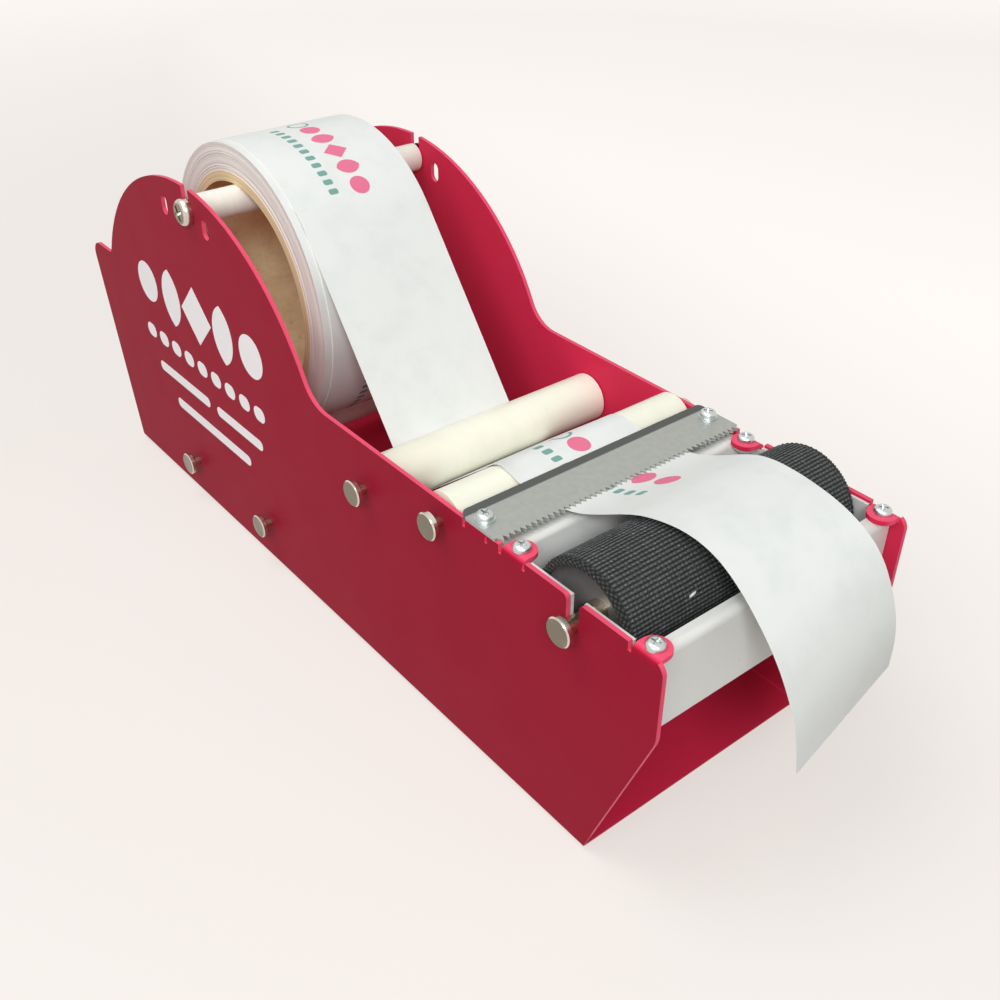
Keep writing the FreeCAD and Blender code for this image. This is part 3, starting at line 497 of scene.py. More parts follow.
@dataclass(frozen=True)
class TapePrint:
    """Repeated row of pink shapes over a row of teal dashes, on the tape's own map in millimetres.

    The map runs along the tape from a print's middle and across it from its left edge.
    """

    period: float
    pink: Colour = shade(226, 112, 146)
    teal: Colour = shade(112, 160, 152)
    row: float = 28.4
    dashes: float = 17.4
    dash_start: float = -40.0
    dash_pitch: float = 4.1
    dash_size: tuple[float, float] = (2.3, 3.6)
    dash_corner: float = 0.8
    dashes_middle: float = 3.0
    dashes_reach: float = 22.3
    hoop_place: float = 26.0
    hoop_radius: float = 3.6

    @staticmethod
    def inside(g: Shader, distance: Link, reach: float) -> Link:
        """1 where a distance is below a reach, with a soft edge."""
        return 1 - g.rise(distance, reach - 0.12, reach + 0.12)

    def bar(self, g: Shader, s: Link, t: Link, size: tuple[float, float], corner: float) -> Link:
        """1 inside a rounded bar round the map's zero.

        Args:
            g: The material's nodes.
            s: Place along the tape.
            t: Place across the tape.
            size: The bar's length along and across the tape.
            corner: The corners' radius.

        Returns:
            The mask.
        """
        ds = (abs(s) - (size[0] / 2 - corner)).at_least(0.0)
        dt = (abs(t) - (size[1] / 2 - corner)).at_least(0.0)
        return self.inside(g, apart(ds, dt), corner)

    def shapes(self, g: Shader, s: Link, t: Link) -> Link:
        """Disc, petal, diamond, petal and disc, side by side."""
        side = abs(s)
        disc = self.inside(g, apart(side - 17.2, t), 3.7)
        petal = self.inside(g, apart(side - 6.9, t), 4.9)
        petal = petal.at_most(self.inside(g, apart(side - 10.3, t), 4.9))
        diamond = self.inside(g, side + abs(t) * 0.85, 4.1)
        return disc.at_least(petal).at_least(diamond)

    def over(self, g: Shader, paper: Link) -> Link:
        """The paper's colour with the print on it."""
        u, v, _ = g.split(g.link("ShaderNodeUVMap", {"uv_map": "tape"}))
        s = ((v + self.period / 2) % self.period) - self.period / 2
        pink = self.shapes(g, s, u - self.row)
        step = ((s - self.dash_start) % self.dash_pitch) - self.dash_pitch / 2
        dash = self.bar(g, step, u - self.dashes, self.dash_size, self.dash_corner)
        teal = dash.at_most(self.inside(g, abs(s - self.dashes_middle), self.dashes_reach))
        hoop = apart(s - self.hoop_place, u - self.row)
        teal = teal.at_least(self.inside(g, abs(hoop - self.hoop_radius), 0.5))
        worn = 1 - g.rise(g.noise(g.place(), 1500.0, 2.0), 0.66, 0.78) * 0.4
        return g.blend(teal * worn, g.blend(pink * worn, paper, self.pink), self.teal)


@dataclass(frozen=True)
class SheetPaper(Finish):
    """Tape's upper side: white kraft with a faint cloudy formation and the print."""

    print_period: float = 200.0
    face: Colour = shade(229, 232, 229)
    shade_tone: Colour = shade(215, 220, 216)

    def upper_side(self, g: Shader, place: Link) -> tuple[Link, Link]:
        """Colour of the printed side, and the height of its fibres and cloud."""
        cloud = g.noise(place, 75.0, 5.0, 0.62)
        fibre = g.noise(place, 1400.0, 3.0, 0.6)
        base = g.blend(g.rise(cloud, 0.42, 0.72) * 0.45, self.face, self.shade_tone)
        return TapePrint(self.print_period).over(g, base), fibre * 0.4 + cloud * 0.6

    def paint(self, g: Shader) -> Values:
        """Shader inputs by socket name."""
        colour, height = self.upper_side(g, g.place())
        return {"Base Color": colour, "Roughness": 0.60, "Normal": g.bump(height, 0.00008, 0.4)}


@dataclass(frozen=True)
class WoundPaper(SheetPaper):
    """The wound tape: its printed outer lap, and the fine edges of its laps at both sides."""

    edge: Colour = shade(234, 229, 223)
    edge_dark: Colour = shade(208, 197, 193)

    def paint(self, g: Shader) -> Values:
        """Shader inputs by socket name."""
        place = g.place()
        reach = g.radius(place, ROLL_Y, ROLL_Z) * 1000.0
        laps = g.noise(g.joined(reach, 0.0, 0.0), 2.1, 3.0, 0.75)
        groups = g.noise(g.joined(reach, 4.0, 0.0), 0.5, 1.0)
        side = g.rise(abs(g.split(g.facing())[0]), 0.45, 0.85)
        tone = g.rise(laps, 0.50, 0.74) * 0.45 + g.rise(groups, 0.45, 0.7) * 0.35
        flank = g.blend(tone, self.edge, self.edge_dark)
        colour, height = self.upper_side(g, place)
        return {
            "Base Color": g.blend(side, colour, flank),
            "Roughness": 0.60 + 0.2 * side,
            "Normal": g.bump(height, 0.00008, 0.4, g.bump(laps * side, 0.0002, 0.45)),
        }


@dataclass(frozen=True)
class Lint(Finish):
    """Pale fleck of lint."""

    tone: Colour = shade(226, 228, 228)

    def paint(self, g: Shader) -> Values:
        """Shader inputs by socket name."""
        fuzz = g.noise(g.place(), 3000.0, 3.0)
        return {
            "Base Color": g.blend(fuzz * 0.4, self.tone, shade(180, 184, 184)),
            "Roughness": 0.8,
            "Normal": g.bump(fuzz, 0.0001, 0.6),
        }


def placed(name: str, data: bpy.types.ID) -> Piece:
    """New object with its data, in the scene."""
    piece = bpy.data.objects.new(name, data)
    bpy.context.scene.collection.objects.link(piece)
    return piece


def mesh_piece(name: str, points: Iterable[Sequence[float]], faces: Iterable[Sequence[int]],
               smooth: bool = True) -> Piece:
    """Object of points and faces, with its faces turned outwards."""
    mesh = bpy.data.meshes.new(name)
    mesh.from_pydata([tuple(p) for p in points], [], [tuple(f) for f in faces])
    tidy = bmesh.new()
    tidy.from_mesh(mesh)
    bmesh.ops.recalc_face_normals(tidy, faces=tidy.faces)
    tidy.to_mesh(mesh)
    tidy.free()
    mesh.shade_smooth() if smooth else mesh.shade_flat()
    return placed(name, mesh)


def ring(name: str, outline: Outline, middle: tuple[float, float], steps: int) -> Piece:
    """Piece turned about an axis along X.

    Args:
        name: The piece's name.
        outline: Closed (x, radius) outline.
        middle: The axis's place in (y, z).
        steps: Strips round the axis.

    Returns:
        The piece, its points strip by strip in the outline's order.
    """
    wide = len(outline)
    points = []
    for j in range(steps):
        angle = 2 * math.pi * j / steps
        points += [(x, middle[0] + r * math.cos(angle), middle[1] + r * math.sin(angle)) for x, r in outline]
    faces = [(j * wide + i, j * wide + (i + 1) % wide, ((j + 1) % steps) * wide + (i + 1) % wide,
              ((j + 1) % steps) * wide + i) for j in range(steps) for i in range(wide)]
    return mesh_piece(name, points, faces)


def applied(piece: Piece) -> Piece:
    """Turn a piece's modifiers into its plain mesh."""
    bpy.context.view_layer.update()
    seen = piece.evaluated_get(bpy.context.evaluated_depsgraph_get())
    mesh = bpy.data.meshes.new_from_object(seen)
    mesh.name = piece.name
    piece.modifiers.clear()
    piece.data = mesh
    return piece


class NodeMaker(Graph):
    """Makes one Geometry Nodes tree and runs it on a piece."""

    def __init__(self, name: str) -> None:
        """Start a tree with a geometry input and output."""
        tree = bpy.data.node_groups.new(name, "GeometryNodeTree")
        super().__init__(tree)
        tree.interface.new_socket("Geometry", in_out="INPUT", socket_type="NodeSocketGeometry")
        tree.interface.new_socket("Geometry", in_out="OUTPUT", socket_type="NodeSocketGeometry")
        self.values: Values = {}
        self.entry = self.node("NodeGroupInput")

    def size(self, name: str, value: float | int) -> Link:
        """Add a named input with its value and take it as a link."""
        kind = "NodeSocketInt" if isinstance(value, int) else "NodeSocketFloat"
        socket = self.tree.interface.new_socket(name, in_out="INPUT", socket_type=kind)
        self.values[socket.identifier] = value
        return Link(self, self.entry.outputs[name])

    def start(self) -> Link:
        """The geometry that the tree starts from."""
        return Link(self, self.entry.outputs["Geometry"])

    def run(self, piece: Piece, shape: Link, material: bpy.types.Material) -> Piece:
        """End the tree in real faces with a material, and give its result to a piece."""
        real = self.link("GeometryNodeRealizeInstances", None, {"Geometry": shape})
        dressed = self.link("GeometryNodeSetMaterial", None, {"Geometry": real, "Material": material})
        self.node("NodeGroupOutput", None, {"Geometry": dressed})
        modifier = piece.modifiers.new(self.tree.name, "NODES")
        modifier.node_group = self.tree
        for identifier, value in self.values.items():
            modifier[identifier] = value
        return applied(piece)


def dress(piece: Piece, material: bpy.types.Material) -> Piece:
    """Give a piece one material."""
    piece.data.materials.clear()
    piece.data.materials.append(material)
    return piece


def repaint(node: Piece, material: bpy.types.Material) -> None:
    """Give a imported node's slots one material, without touching its mesh."""
    if not node.material_slots:
        node.data.materials.append(material)
    for holder in node.material_slots:
        holder.material = material


class Turn(Enum):
    """Which way the tape bends round a station."""

    LEFT = 1
    RIGHT = -1


@dataclass(frozen=True)
class Station:
    """Something that the tape passes round: a place, a radius and the sense of the turn."""

    y: float
    z: float
    radius: float
    turn: Turn


def heading_between(first: Station, second: Station) -> float:
    """Heading of the straight run between two stations, in radians."""
    dy, dz = second.y - first.y, second.z - first.z
    offset = first.radius * first.turn.value - second.radius * second.turn.value
    return math.atan2(dz, dy) + math.asin(offset / math.hypot(dy, dz))


def turn_points(station: Station, start: float, turn: float, step: float) -> Outline:
    """Points round a station from a start heading through a turn, both in radians."""
    count = max(2, int(abs(turn) / step + 1))
    points = []
    for i in range(count + 1):
        angle = start + turn * i / count - station.turn.value * math.pi / 2
        points.append((station.y + station.radius * math.cos(angle),
                       station.z + station.radius * math.sin(angle)))
    return points


def lengths(points: np.ndarray) -> np.ndarray:
    """Length along a line of points up to each of them."""
    steps = np.linalg.norm(np.diff(points, axis=0), axis=1)
    return np.concatenate([[0.0], np.cumsum(steps)])


def evenly(points: np.ndarray, count: int) -> np.ndarray:
    """The same line as equally spaced points."""
    run = lengths(points)
    wanted = np.linspace(0, run[-1], count)
    return np.stack([np.interp(wanted, run, points[:, k]) for k in range(points.shape[1])], axis=1)


def softened(points: np.ndarray, rounds: int) -> np.ndarray:
    """The line with its corners eased, its two ends kept."""
    line = points.copy()
    for _ in range(rounds):
        line[1:-1] = 0.25 * line[:-2] + 0.5 * line[1:-1] + 0.25 * line[2:]
    return line


def paper_sheet(name: str, rows: np.ndarray, along: np.ndarray, across: np.ndarray,
                thickness: float) -> Piece:
    """Thin closed sheet over a grid of points.

    Args:
        name: The piece's name.
        rows: Points, rows along the tape by columns across it.
        along: Millimetres along the tape of each row and column.
        across: Millimetres across the tape of each column.
        thickness: The sheet's thickness.

    Returns:
        The piece, with its map of millimetres.
    """
    count, width = rows.shape[:2]
    faces = [(i * width + j, i * width + j + 1, (i + 1) * width + j + 1, (i + 1) * width + j)
             for i in range(count - 1) for j in range(width - 1)]
    mesh = bpy.data.meshes.new(name)
    mesh.from_pydata([tuple(p) for p in rows.reshape(-1, 3)], [], faces)
    chart = mesh.uv_layers.new(name="tape")
    for loop in mesh.loops:
        i, j = divmod(loop.vertex_index, width)
        chart.data[loop.index].uv = (across[j], along[i, j])
    mesh.shade_smooth()
    piece = placed(name, mesh)
    wall = piece.modifiers.new("thickness", "SOLIDIFY")
    wall.thickness = thickness
    wall.offset = 0.0
    wall.use_rim = True
    sheet = applied(piece)
    sheet.data.set_sharp_from_angle(angle=math.radians(45))
    return sheet


def dress_nodes(nodes: Nodes) -> None:
    """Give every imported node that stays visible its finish."""
    dressing = (
        (PowderCoat("powder_coat"), ("chassis",)),
        (BareSheet("tank_sheet"), ("water_tank",)),
        (BladeSteel("blade_steel"), ("cutter_blade",)),
        (Plated("zinc", shade(210, 216, 217), shade(176, 184, 186), 0.30),
         ("blade_washers", "blade_screws", "tank_screws")),
        (Plated("nickel", shade(226, 222, 212), shade(132, 125, 110), 0.18, painted_face_shade=0.95),
         ("guide_pin_heads_rear", "guide_pin_heads_front", "support_pin_heads_rear",
          "support_pin_heads_front", "wetting_shaft_heads", "roll_axle_screws")),
        (Plated("turned_steel", shade(206, 196, 172), shade(156, 142, 114), 0.22, 0.00002),
         ("guide_pin_rear", "guide_pin_front", "support_pin_rear", "support_pin_front",
          "wetting_shaft", "roll_axle_rod")),
        (TurnedPlastic("roller_cream"), ("guide_roller_rear", "guide_roller_front")),
        (TurnedPlastic("roller_white", shade(243, 241, 232), shade(224, 221, 210)),
         ("support_roller_rear", "support_roller_front", "roll_axle_tube")),
        (TurnedPlastic("bush_white", shade(238, 237, 230), shade(216, 214, 204), 0.42),
         ("guide_bushes_rear", "guide_bushes_front", "support_bushes_rear", "support_bushes_front")),
        (Plated("drum_satin", shade(152, 149, 149), shade(118, 112, 110), 0.34, metallic=0.4),
         ("wetting_drum", "wetting_drum_caps")),
        (Board("core_board"), ("tape_core",)),
    )
    for finish, names in dressing:
        material = finish.build()
        for name in names:
            repaint(nodes[name], material)


@dataclass
class PlatePrint:
    """The print on the frame's left plate, a plain ornament over plain bars."""

    print_lift: float = 0.06 * MM
    shape_row: float = 91.0 * MM
    shape_reach: float = 12.0 * MM

    def bars(self) -> list[Outline]:
        """Rounded bars of the print: a row of short ones over two rows of long ones."""
        rows = [(68.0, 6.0, [(121.0 - 11.2 * i, 8.0) for i in range(9)]),
                (53.5, 4.4, [(114.0, 44.0), (64.0, 36.0)]),
                (41.0, 4.4, [(102.0, 62.0)])]
        outlines = []
        for z, width, spans in rows:
            half = width / 2 * MM
            for y, length in spans:
                ends = ((y * MM - half, math.pi / 2), ((y - length) * MM + half, -math.pi / 2))
                outlines.append([(middle + half * math.cos(start - math.pi * i / 12),
                                  z * MM + half * math.sin(start - math.pi * i / 12))
                                 for middle, start in ends for i in range(13)])
        return outlines

    def shapes(self) -> list[Outline]:
        """Disc, petal, diamond, petal and disc of the print."""
        reach = self.shape_reach
        disc = [(0.7 * reach * math.cos(math.pi * i / 24), 0.7 * reach * math.sin(math.pi * i / 24))
                for i in range(48)]
        lean = math.radians(64)
        bow = reach / math.sin(lean)
        side = [(bow * (math.cos(t) - math.cos(lean)), bow * math.sin(t))
                for t in (lean - 2 * lean * i / 16 for i in range(17))]
        petal = side + [(-y, -z) for y, z in side[1:-1]]
        diamond = [(reach, 0.0), (0.0, -reach), (-reach, 0.0), (0.0, reach)]
        row = zip((112.5, 91.5, 70.5, 49.5, 28.5), (disc, petal, diamond, petal, disc))
        return [[(middle * MM + y, self.shape_row + z) for y, z in outline] for middle, outline in row]

    def ink(self) -> Piece:
        """White shapes and bars on the left plate, as a thin layer of ink."""
        points: list[tuple[float, float, float]] = []
        faces: list[tuple[int, ...]] = []
        outer, inner = -PLATE_FACE - self.print_lift, -PLATE_FACE + 0.01 * MM
        for outline in self.shapes() + self.bars():
            start, count = len(points), len(outline)
            points.extend((outer, y, z) for y, z in outline)
            points.extend((inner, y, z) for y, z in outline)
            faces.append(tuple(range(start, start + count)))
            faces.append(tuple(range(start + 2 * count - 1, start + count - 1, -1)))
            faces.extend((start + i, start + (i + 1) % count, start + count + (i + 1) % count,
                          start + count + i) for i in range(count))
        return dress(mesh_piece("plate_print", points, faces, smooth=False), PrintInk("white_ink").build())


@dataclass
class WettingRoller:
    """Drum with sunk caps, and the knitted sleeve pulled over it."""

    y: float = WETTING_Y
    z: float = WETTING_Z
    drum_radius: float = 16.8 * MM
    drum_bore: float = 15.6 * MM
    drum_half: float = 46.0 * MM
    knit_radius: float = 18.05 * MM
    rib_height: float = 0.32 * MM
    strips_per_rib: int = 8
    braid_height: float = 0.6 * MM

    def rim_profile(self) -> Outline:
        """Closed (x, r) outline of the sleeve's wall, rolled round the drum's rim at both ends."""
        outer, inner = self.knit_radius, self.drum_radius + 0.03 * MM
        deep, wide = 1.42 * MM, 1.6 * MM
        bead = self.drum_half - 0.75 * MM
        right: Outline = [(bead + wide * math.cos(angle), outer - deep + deep * math.sin(angle))
                          for angle in (math.pi / 2 - i * math.pi / 20 for i in range(1, 21))]
        lip = self.drum_half + 0.05 * MM
        right += [(lip - 0.5 * MM, self.drum_bore - 0.1 * MM), (lip, self.drum_bore - 0.05 * MM),
                  (lip, inner)]
        count = 60
        top = [(-bead + 2 * bead * i / count, outer) for i in range(count + 1)]
        low = [(lip - 2 * lip * i / 6, inner) for i in range(1, 6)]
        return top + right + low + [(-x, r) for x, r in reversed(right)]

    def sleeve(self) -> Piece:
        """Knitted sleeve: a closed wall, its ribs and braided rims raised by Geometry Nodes."""
        piece = ring("knit_sleeve", self.rim_profile(), (self.y, self.z), KNIT_RIBS * self.strips_per_rib)
        maker = NodeMaker("knit_ribs")
        rib_height = maker.size("Rib height", self.rib_height)
        ribs = maker.size("Rib count", KNIT_RIBS)
        braid_height = maker.size("Braid height", self.braid_height)
        knot_count = maker.size("Knot count", KNIT_KNOTS)
        rim_start = maker.size("Rim start", self.drum_half - 1.4 * MM)
        middle_y = maker.size("Axis Y", self.y)
        middle_z = maker.size("Axis Z", self.z)
        inner = maker.size("Drum radius", self.drum_radius)
        x, y, z = maker.split(maker.link("GeometryNodeInputPosition"))
        dy, dz = y - middle_y, z - middle_z
        reach = apart(dy, dz)
        angle = maker.math("ARCTAN2", dz, dy)
        rib = ((angle * ribs).cosine() * 0.5 + 0.5) ** 0.7
        out = abs(x) - rim_start
        rim = maker.rise(out, 0.0, 0.9 * MM)
        braid = knots(angle, abs(x) - reach, knot_count) * 0.5 + 0.5
        outside = maker.rise(reach - inner, 0.05 * MM, 0.5 * MM)
        outside = outside.at_least(maker.rise(out, 1.6 * MM, 1.9 * MM))
        raised = (rib - 1) * rib_height * (1 - rim) + (braid - 1) * braid_height * rim
        push = maker.link("ShaderNodeVectorMath", {"operation": "SCALE"},
                          {0: maker.link("GeometryNodeInputNormal"), "Scale": raised * outside})
        moved = maker.link("GeometryNodeSetPosition", None, {"Geometry": maker.start(), "Offset": push})
        return maker.run(piece, moved, Knit("knit_yarn").build())

    def lint_fleck(self) -> Piece:
        """Small pale fleck caught on the knit, in front and above."""
        angle = math.radians(157)
        normal = Vector((0, math.cos(angle), math.sin(angle)))
        centre = Vector((-22.5 * MM, self.y, self.z)) + normal * (self.knit_radius + 0.05 * MM)
        long, wide = Vector((1, 0, 0.25)).normalized(), Vector((0, -normal.z, normal.y))
        points = []
        for k, share in ((-1, 0.0), (-0.6, 0.8), (0.0, 1.0), (0.6, 0.8), (1, 0.0)):
            for i in range(10):
                turn = 2 * math.pi * i / 10
                spot = centre + long * k * 1.5 * MM + (
                    wide * math.cos(turn) * share * 0.42 * MM + normal * math.sin(turn) * share * 0.22 * MM)
                points.append(spot)
        faces = [(k * 10 + i, k * 10 + (i + 1) % 10, k * 10 + 10 + (i + 1) % 10, k * 10 + 10 + i)
                 for k in range(4) for i in range(10)]
        piece = mesh_piece("lint_fleck", points, faces)
        weld = piece.modifiers.new("weld", "WELD")
        weld.merge_threshold = 0.01 * MM
        return dress(applied(piece), Lint("lint").build())


@dataclass
class TapeRoll:
    """The wound tape on its core: even laps, and a last lap that lies a little to the right."""

    core_outer: float = 44.1 * MM
    left: float = -30.4 * MM
    right: float = 20.4 * MM
    lap_shift: float = 3.0 * MM
    lap_thickness: float = 0.3 * MM
    steps: int = 216
    leave: float = 140.0
    top_print: float = 110.0
    low_print: float = 232.0

    def outline(self) -> Outline:
        """Closed (x, r) outline of the winding with slightly uneven sides."""
        inner, outer = self.core_outer + 0.02 * MM, ROLL_RADIUS - self.lap_thickness
        rng = np.random.default_rng(7)
        rings = 34
        reach = np.linspace(inner, outer, rings)
        left = self.left + rng.uniform(0.0, 0.22 * MM, rings)
        right = self.right - rng.uniform(0.0, 0.22 * MM, rings)
        left[-3:], right[-3:] = self.left, self.right
        side_left = list(zip(left, reach))
        lap = [(self.left + self.lap_shift, outer), (self.left + self.lap_shift, ROLL_RADIUS),
               (self.right + self.lap_shift, ROLL_RADIUS), (self.right + self.lap_shift, outer)]
        side_right = list(zip(right, reach))[::-1]
        return side_left + lap + side_right

    def winding(self) -> Piece:
        """The laps as one closed ring, mapped for the print."""
        outline = self.outline()
        wide = len(outline)
        piece = ring("tape_winding", outline, (ROLL_Y, ROLL_Z), self.steps)
        chart = piece.data.uv_layers.new(name="tape")
        for face in piece.data.polygons:
            corners = [divmod(piece.data.loops[k].vertex_index, wide) for k in face.loop_indices]
            strips = {strip for strip, _ in corners}
            closing = {0, self.steps - 1} <= strips
            shown = self.top_print if max(strips) * 360 <= self.leave * self.steps else self.low_print
            for k, (strip, column) in zip(face.loop_indices, corners):
                angle = 360 * (self.steps if closing and strip == 0 else strip) / self.steps
                run = math.radians(shown - angle) * ROLL_RADIUS / MM
                chart.data[k].uv = ((outline[column][0] - self.left - self.lap_shift) / MM, run)
        piece.data.set_sharp_from_angle(angle=math.radians(40))
        return dress(piece, WoundPaper("wound_paper").build())


@dataclass
class FreeTape:
    """The tape between the roll and its cut end: one sheet to the blade and one beyond it."""

    thickness: float = 0.14 * MM
    gap: float = 0.06 * MM
    width: float = 50.8 * MM
    columns: int = 25
    step: float = math.radians(3)
    guide_radius: float = 8.8 * MM
    seam_y: float = FRONT + 47.0 * MM
    belly_span: tuple[float, float] = (-30 * MM, 16 * MM)
    belly_depth: float = 0.7 * MM
    curl_y: float = FRONT + 67.0 * MM
    curl_half: float = 8.5 * MM
    curl_width: float = 7.0
    curl: float = 1.1 * MM
    feed_rows: int = 260
    tail_rows: int = 150
    left_fit: tuple[tuple[float, float], ...] = (
        (46.0, 89.0), (38.5, 89.4), (27.2, 94.3), (19.5, 98.6), (11.8, 101.3), (0.1, 104.2),
        (-12.7, 102.7), (-23.5, 94.6), (-35.4, 82.6), (-44.2, 67.2), (-46.8, 51.5))
    right_fit: tuple[tuple[float, float], ...] = (
        (46.0, 89.0), (38.5, 89.4), (27.4, 93.7), (20.3, 98.0), (13.4, 100.2), (0.6, 99.9),
        (-15.8, 97.2), (-28.9, 90.1), (-37.4, 73.2), (-38.9, 65.5), (-38.6, 54.5))

    def stations(self) -> list[Station]:
        """What the tape passes, from the roll to the cutter's teeth."""
        under = RIM_HEIGHT - 0.5 * MM
        guide = self.guide_radius + self.gap + self.thickness / 2
        return [
            Station(ROLL_Y, ROLL_Z, ROLL_RADIUS - self.thickness / 2, Turn.LEFT),
            Station(GUIDE_REAR_Y, RIM_HEIGHT - 17.5 * MM, guide, Turn.RIGHT),
            Station(GUIDE_FRONT_Y, RIM_HEIGHT - 7.3 * MM, guide, Turn.LEFT),
            Station(BLADE_BEND_Y, under, 0.1 * MM, Turn.RIGHT),
            Station(BLADE_TIPS_Y, under, 0.1 * MM, Turn.RIGHT),
        ]

    def feed_line(self) -> np.ndarray:
        """Middle line in (y, z) from inside the roll's last lap to the seam under the blade."""
        stations = self.stations()
        headings = [heading_between(a, b) % (2 * math.pi) for a, b in zip(stations, stations[1:])]
        first = stations[0]
        lead = turn_points(first, headings[0] - math.radians(8), math.radians(8), self.step)
        points = [(ROLL_Y + (y - ROLL_Y) * share, ROLL_Z + (z - ROLL_Z) * share)
                  for (y, z), share in zip(lead, np.linspace(0.9965, 1.0, len(lead)))]
        for station, before, after in zip(stations[1:4], headings, headings[1:]):
            points += turn_points(station, before, after - before, self.step)
        points.append((self.seam_y, stations[3].z - stations[3].radius))
        return np.array(points)

    def middle_at(self, y: np.ndarray) -> np.ndarray:
        """Places across the machine of the tape's middle at places along Y."""
        places = [(BLADE_TIPS_Y, 1.0 * MM), (GUIDE_REAR_Y, -4.8 * MM), (20 * MM, -2.0 * MM)]
        return np.interp(y, *zip(*places))

    def sheet(self, name: str, edges: Sequence[np.ndarray], runs: Sequence[np.ndarray],
              sag: np.ndarray | None = None) -> Piece:
        """Sheet that is straight across between the tape's edges, in its paper.

        Args:
            name: The piece's name.
            edges: Points of the left and the right edge.
            runs: Millimetres along the tape of the left and the right edge's points.
            sag: What is added to the points, row by row.

        Returns:
            The piece.
        """
        share = np.linspace(0, 1, self.columns)
        rows = edges[0][:, None] * (1 - share)[:, None] + edges[1][:, None] * share[:, None]
        along = runs[0][:, None] * (1 - share) + runs[1][:, None] * share
        piece = paper_sheet(name, rows if sag is None else rows + sag, along, share * self.width / MM,
                            self.thickness)
        return dress(piece, SheetPaper(f"{name}_paper").build())

    def feed(self) -> Piece:
        """Sheet from the roll, under the rear guide and over the front one, to below the blade."""
        line = evenly(self.feed_line(), self.feed_rows)
        run = lengths(line) / MM
        LOG.info("feed: %.1f mm from the roll to the seam", run[-1])
        start, end = self.belly_span
        belly = np.sin(np.clip((line[:, 0] - start) / (end - start), 0, 1) * math.pi)
        over = np.clip(1 - ((line[:, 0] - self.curl_y) / self.curl_half) ** 2, 0, 1) ** 2
        share = np.linspace(0, 1, self.columns)
        lifted = np.clip(1 - share * self.width / MM / self.curl_width, 0, 1) ** 2
        sag = np.zeros((self.feed_rows, self.columns, 3))
        sag[..., 1] = np.outer(belly, (0.9 - (2 * share - 1) ** 2) * self.belly_depth)
        sag[..., 2] = np.outer(over, lifted * self.curl)
        edges = [np.column_stack([self.middle_at(line[:, 0]) + side, line])
                 for side in (-self.width / 2, self.width / 2)]
        return self.sheet("tape_feed", edges, (run[-1] - run,) * 2, sag)

    def edge(self, is_left: bool) -> np.ndarray:
        """Even (y, z) places along the tail's left or right edge, from the blade to the cut."""
        fit = self.left_fit if is_left else self.right_fit
        line = np.array([(FRONT + y * MM, z * MM) for y, z in fit])
        return evenly(softened(evenly(line, 400), 900), self.tail_rows)

    def tail(self) -> Piece:
        """Sheet from below the blade over the wetting roller, curling down to its slanting cut."""
        lines = [self.edge(is_left) for is_left in (True, False)]
        runs = [lengths(line) / MM for line in lines]
        LOG.info("tail: left edge %.1f mm, right edge %.1f mm", runs[0][-1], runs[1][-1])
        edges = [np.column_stack([self.edge_x(line[:, 0], is_left), line])
                 for line, is_left in zip(lines, (True, False))]
        return self.sheet("tape_tail", edges, [-run for run in runs])

    def edge_x(self, y: np.ndarray, is_left: bool) -> np.ndarray:
        """Places across the machine of the tail's left or right edge."""
        start, end = FRONT + 40 * MM, FRONT + 14 * MM
        share = np.clip((start - y) / (start - end), 0, 1)
        share = share * share * (3 - 2 * share)
        at_blade = 1.0 * MM + (-self.width / 2 if is_left else self.width / 2)
        beyond = -20.2 * MM if is_left else 30.4 * MM
        return at_blade * (1 - share) + beyond * share


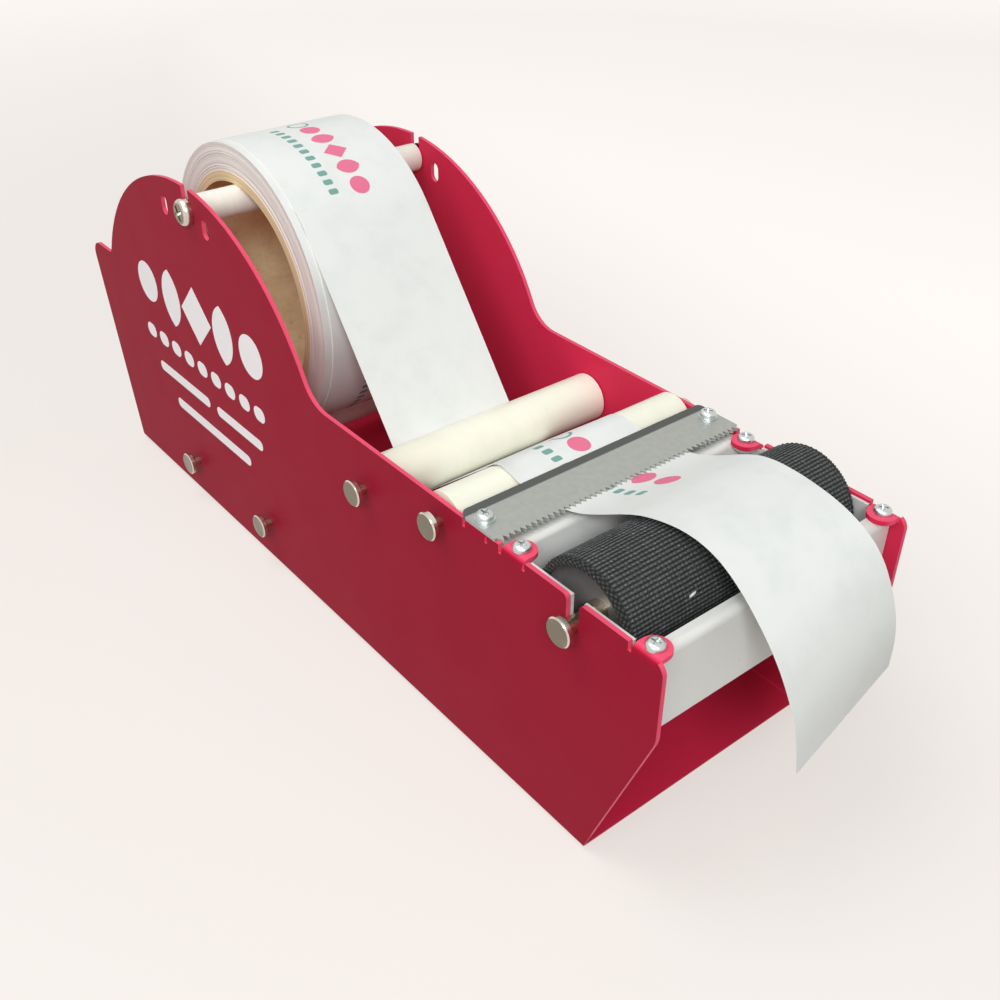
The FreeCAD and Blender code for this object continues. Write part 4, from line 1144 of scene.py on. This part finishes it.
@dataclass
class Studio:
    """Floor, light and camera; none of it is part of the object."""

    camera_place: tuple[float, float, float] = (-0.21043, -0.30913, 0.278778)
    azimuth: float = -39.1123
    elevation: float = 34.3732
    roll: float = 0.31
    lens: float = 41.307
    backdrop: Colour = shade(246, 241, 236)
    floor_bounce: Colour = shade(176, 172, 168)
    near_glow: Colour = shade(240, 235, 230)
    far_glow: Colour = (1.42, 1.36, 1.30, 1.0)
    glow_share: float = 0.62
    world_strength: float = 0.28
    floor_half: float = 6.0
    rim_fade: tuple[float, float] = (1.8, 5.0)
    glow_fade: tuple[float, float] = (0.1, 1.7)
    side_fade: tuple[float, float] = (0.0, 0.4)
    side_share: float = 0.6
    floor_drop: float = 0.0002
    aim_height: float = 60 * MM
    lamps: tuple[tuple[str, tuple[float, float, float], float, float], ...] = (
        ("left", (-0.95, -0.45, 0.90), 0.6, 5.0),
        ("front", (-0.57, -0.885, 0.815), 0.32, 7.0),
        ("overhead", (-0.40, 0.25, 1.35), 0.8, 7.0))

    def camera(self) -> None:
        """Camera at the photograph's place and angle."""
        a, e, r = (math.radians(v) for v in (self.azimuth, self.elevation, self.roll))
        back = Vector((math.sin(a) * math.cos(e), -math.cos(a) * math.cos(e), math.sin(e)))
        right = Vector((0, 0, 1)).cross(back).normalized()
        up = back.cross(right)
        turned = right * math.cos(r) + up * math.sin(r)
        upright = up * math.cos(r) - right * math.sin(r)
        data = bpy.data.cameras.new("camera")
        data.lens = self.lens
        data.sensor_width = 36.0
        data.clip_start, data.clip_end = 0.01, 50.0
        camera = placed("camera", data)
        turn = Matrix((turned, upright, back)).transposed().to_4x4()
        camera.matrix_world = Matrix.Translation(self.camera_place) @ turn
        bpy.context.scene.camera = camera

    @staticmethod
    def seen(g: Graph) -> Link:
        """1 for rays that show a background: camera, glossy and transmission rays."""
        path = g.node("ShaderNodeLightPath")
        camera, glossy, sent = (Link(g, path.outputs[f"Is {kind} Ray"])
                                for kind in ("Camera", "Glossy", "Transmission"))
        return camera.at_least(glossy).at_least(sent)

    def world(self) -> None:
        """Even pale surroundings."""
        world = bpy.data.worlds.new("surroundings")
        world.use_nodes = True
        bpy.context.scene.world = world
        g = Graph(world.node_tree)
        white = (1.0, 1.0, 1.0, 1.0)
        lit = g.link("ShaderNodeBackground", None, {"Color": white, "Strength": self.world_strength})
        shown = g.link("ShaderNodeBackground", None, {"Color": self.backdrop, "Strength": 1.0})
        mixed = g.link("ShaderNodeMixShader", None, {0: self.seen(g), 1: lit, 2: shown})
        g.node("ShaderNodeOutputWorld", None, {"Surface": mixed})

    def floor(self) -> None:
        """Wide pale floor that keeps a soft shadow, with a painted glow that grows further out and towards
        +X.
        """
        half, low = self.floor_half, -self.floor_drop
        corners = [(-half, -half, low), (half, -half, low), (half, half, low), (-half, half, low)]
        piece = mesh_piece("floor", corners, [(0, 1, 2, 3)], smooth=False)
        material = bpy.data.materials.new("floor")
        material.use_nodes = True
        g = Shader(material.node_tree)
        seen = self.seen(g)
        tone = g.blend(seen, self.floor_bounce, self.backdrop)
        x, y, _ = g.split(g.place())
        reach = apart(x, y)
        rim = g.rise(reach, *self.rim_fade)
        # painted light: the floor's glow grows further out and towards +X, lightening the object's soft
        # shadow on that side
        share = g.rise(reach, *self.glow_fade).at_least(g.rise(x, *self.side_fade) * self.side_share)
        colour = g.blend(share, self.near_glow, self.far_glow)
        matt = g.link("ShaderNodeBsdfDiffuse", None, {"Color": tone})
        colour = g.blend(rim, colour, self.backdrop)
        glow = g.link("ShaderNodeEmission", None, {"Color": colour, "Strength": 1.0})
        amount = seen * (self.glow_share + (1 - self.glow_share) * rim)
        mixed = g.link("ShaderNodeMixShader", None, {0: amount, 1: matt, 2: glow})
        g.node("ShaderNodeOutputMaterial", None, {"Surface": mixed})
        dress(piece, material)

    def lamp(self, name: str, place: tuple[float, float, float], size: float, power: float) -> None:
        """Square soft lamp that points at the object, with its size in metres and power in watts."""
        data = bpy.data.lights.new(name, "AREA")
        data.shape = "SQUARE"
        data.size = size
        data.energy = power
        direction = Vector((0, 0, self.aim_height)) - Vector(place)
        turn = direction.to_track_quat("-Z", "Y").to_matrix().to_4x4()
        placed(name, data).matrix_world = Matrix.Translation(place) @ turn

    def build(self) -> None:
        """Everything round the object."""
        self.camera()
        self.world()
        self.floor()
        for lamp in self.lamps:
            self.lamp(*lamp)
        bpy.context.scene.view_settings.view_transform = "Standard"


def report(piece: Piece) -> None:
    """Log a finished piece with its size."""
    LOG.info("%s: %d faces", piece.name, len(piece.data.polygons))


def build_looks() -> None:
    """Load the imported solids, dress them and add the pieces that only looks need."""
    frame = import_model()
    dress_nodes(frame["nodes"])

    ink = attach(PlatePrint().ink(), "frame")
    report(ink)

    wetting = WettingRoller()
    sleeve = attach(wetting.sleeve(), "wetting_roller")
    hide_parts("wetting_sleeve")
    report(sleeve)
    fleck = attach(wetting.lint_fleck(), "wetting_roller")
    report(fleck)

    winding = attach(TapeRoll().winding(), "roll")
    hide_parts("tape_roll")
    report(winding)

    tape = FreeTape()
    feed = tape.feed()
    tail = tape.tail()
    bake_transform(feed)
    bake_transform(tail)
    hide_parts("tape_web")
    for piece, rests in ((feed, ["tape_winding", "guide_roller_rear", "guide_roller_front"]),
                         (tail, ["knit_sleeve", "tape_feed"])):
        report(piece)

    Studio().build()


def main() -> None:
    """Build the whole scene."""
    logging.basicConfig(level=logging.INFO, format="%(message)s")
    build_looks()


if __name__ == "__main__":
    main()
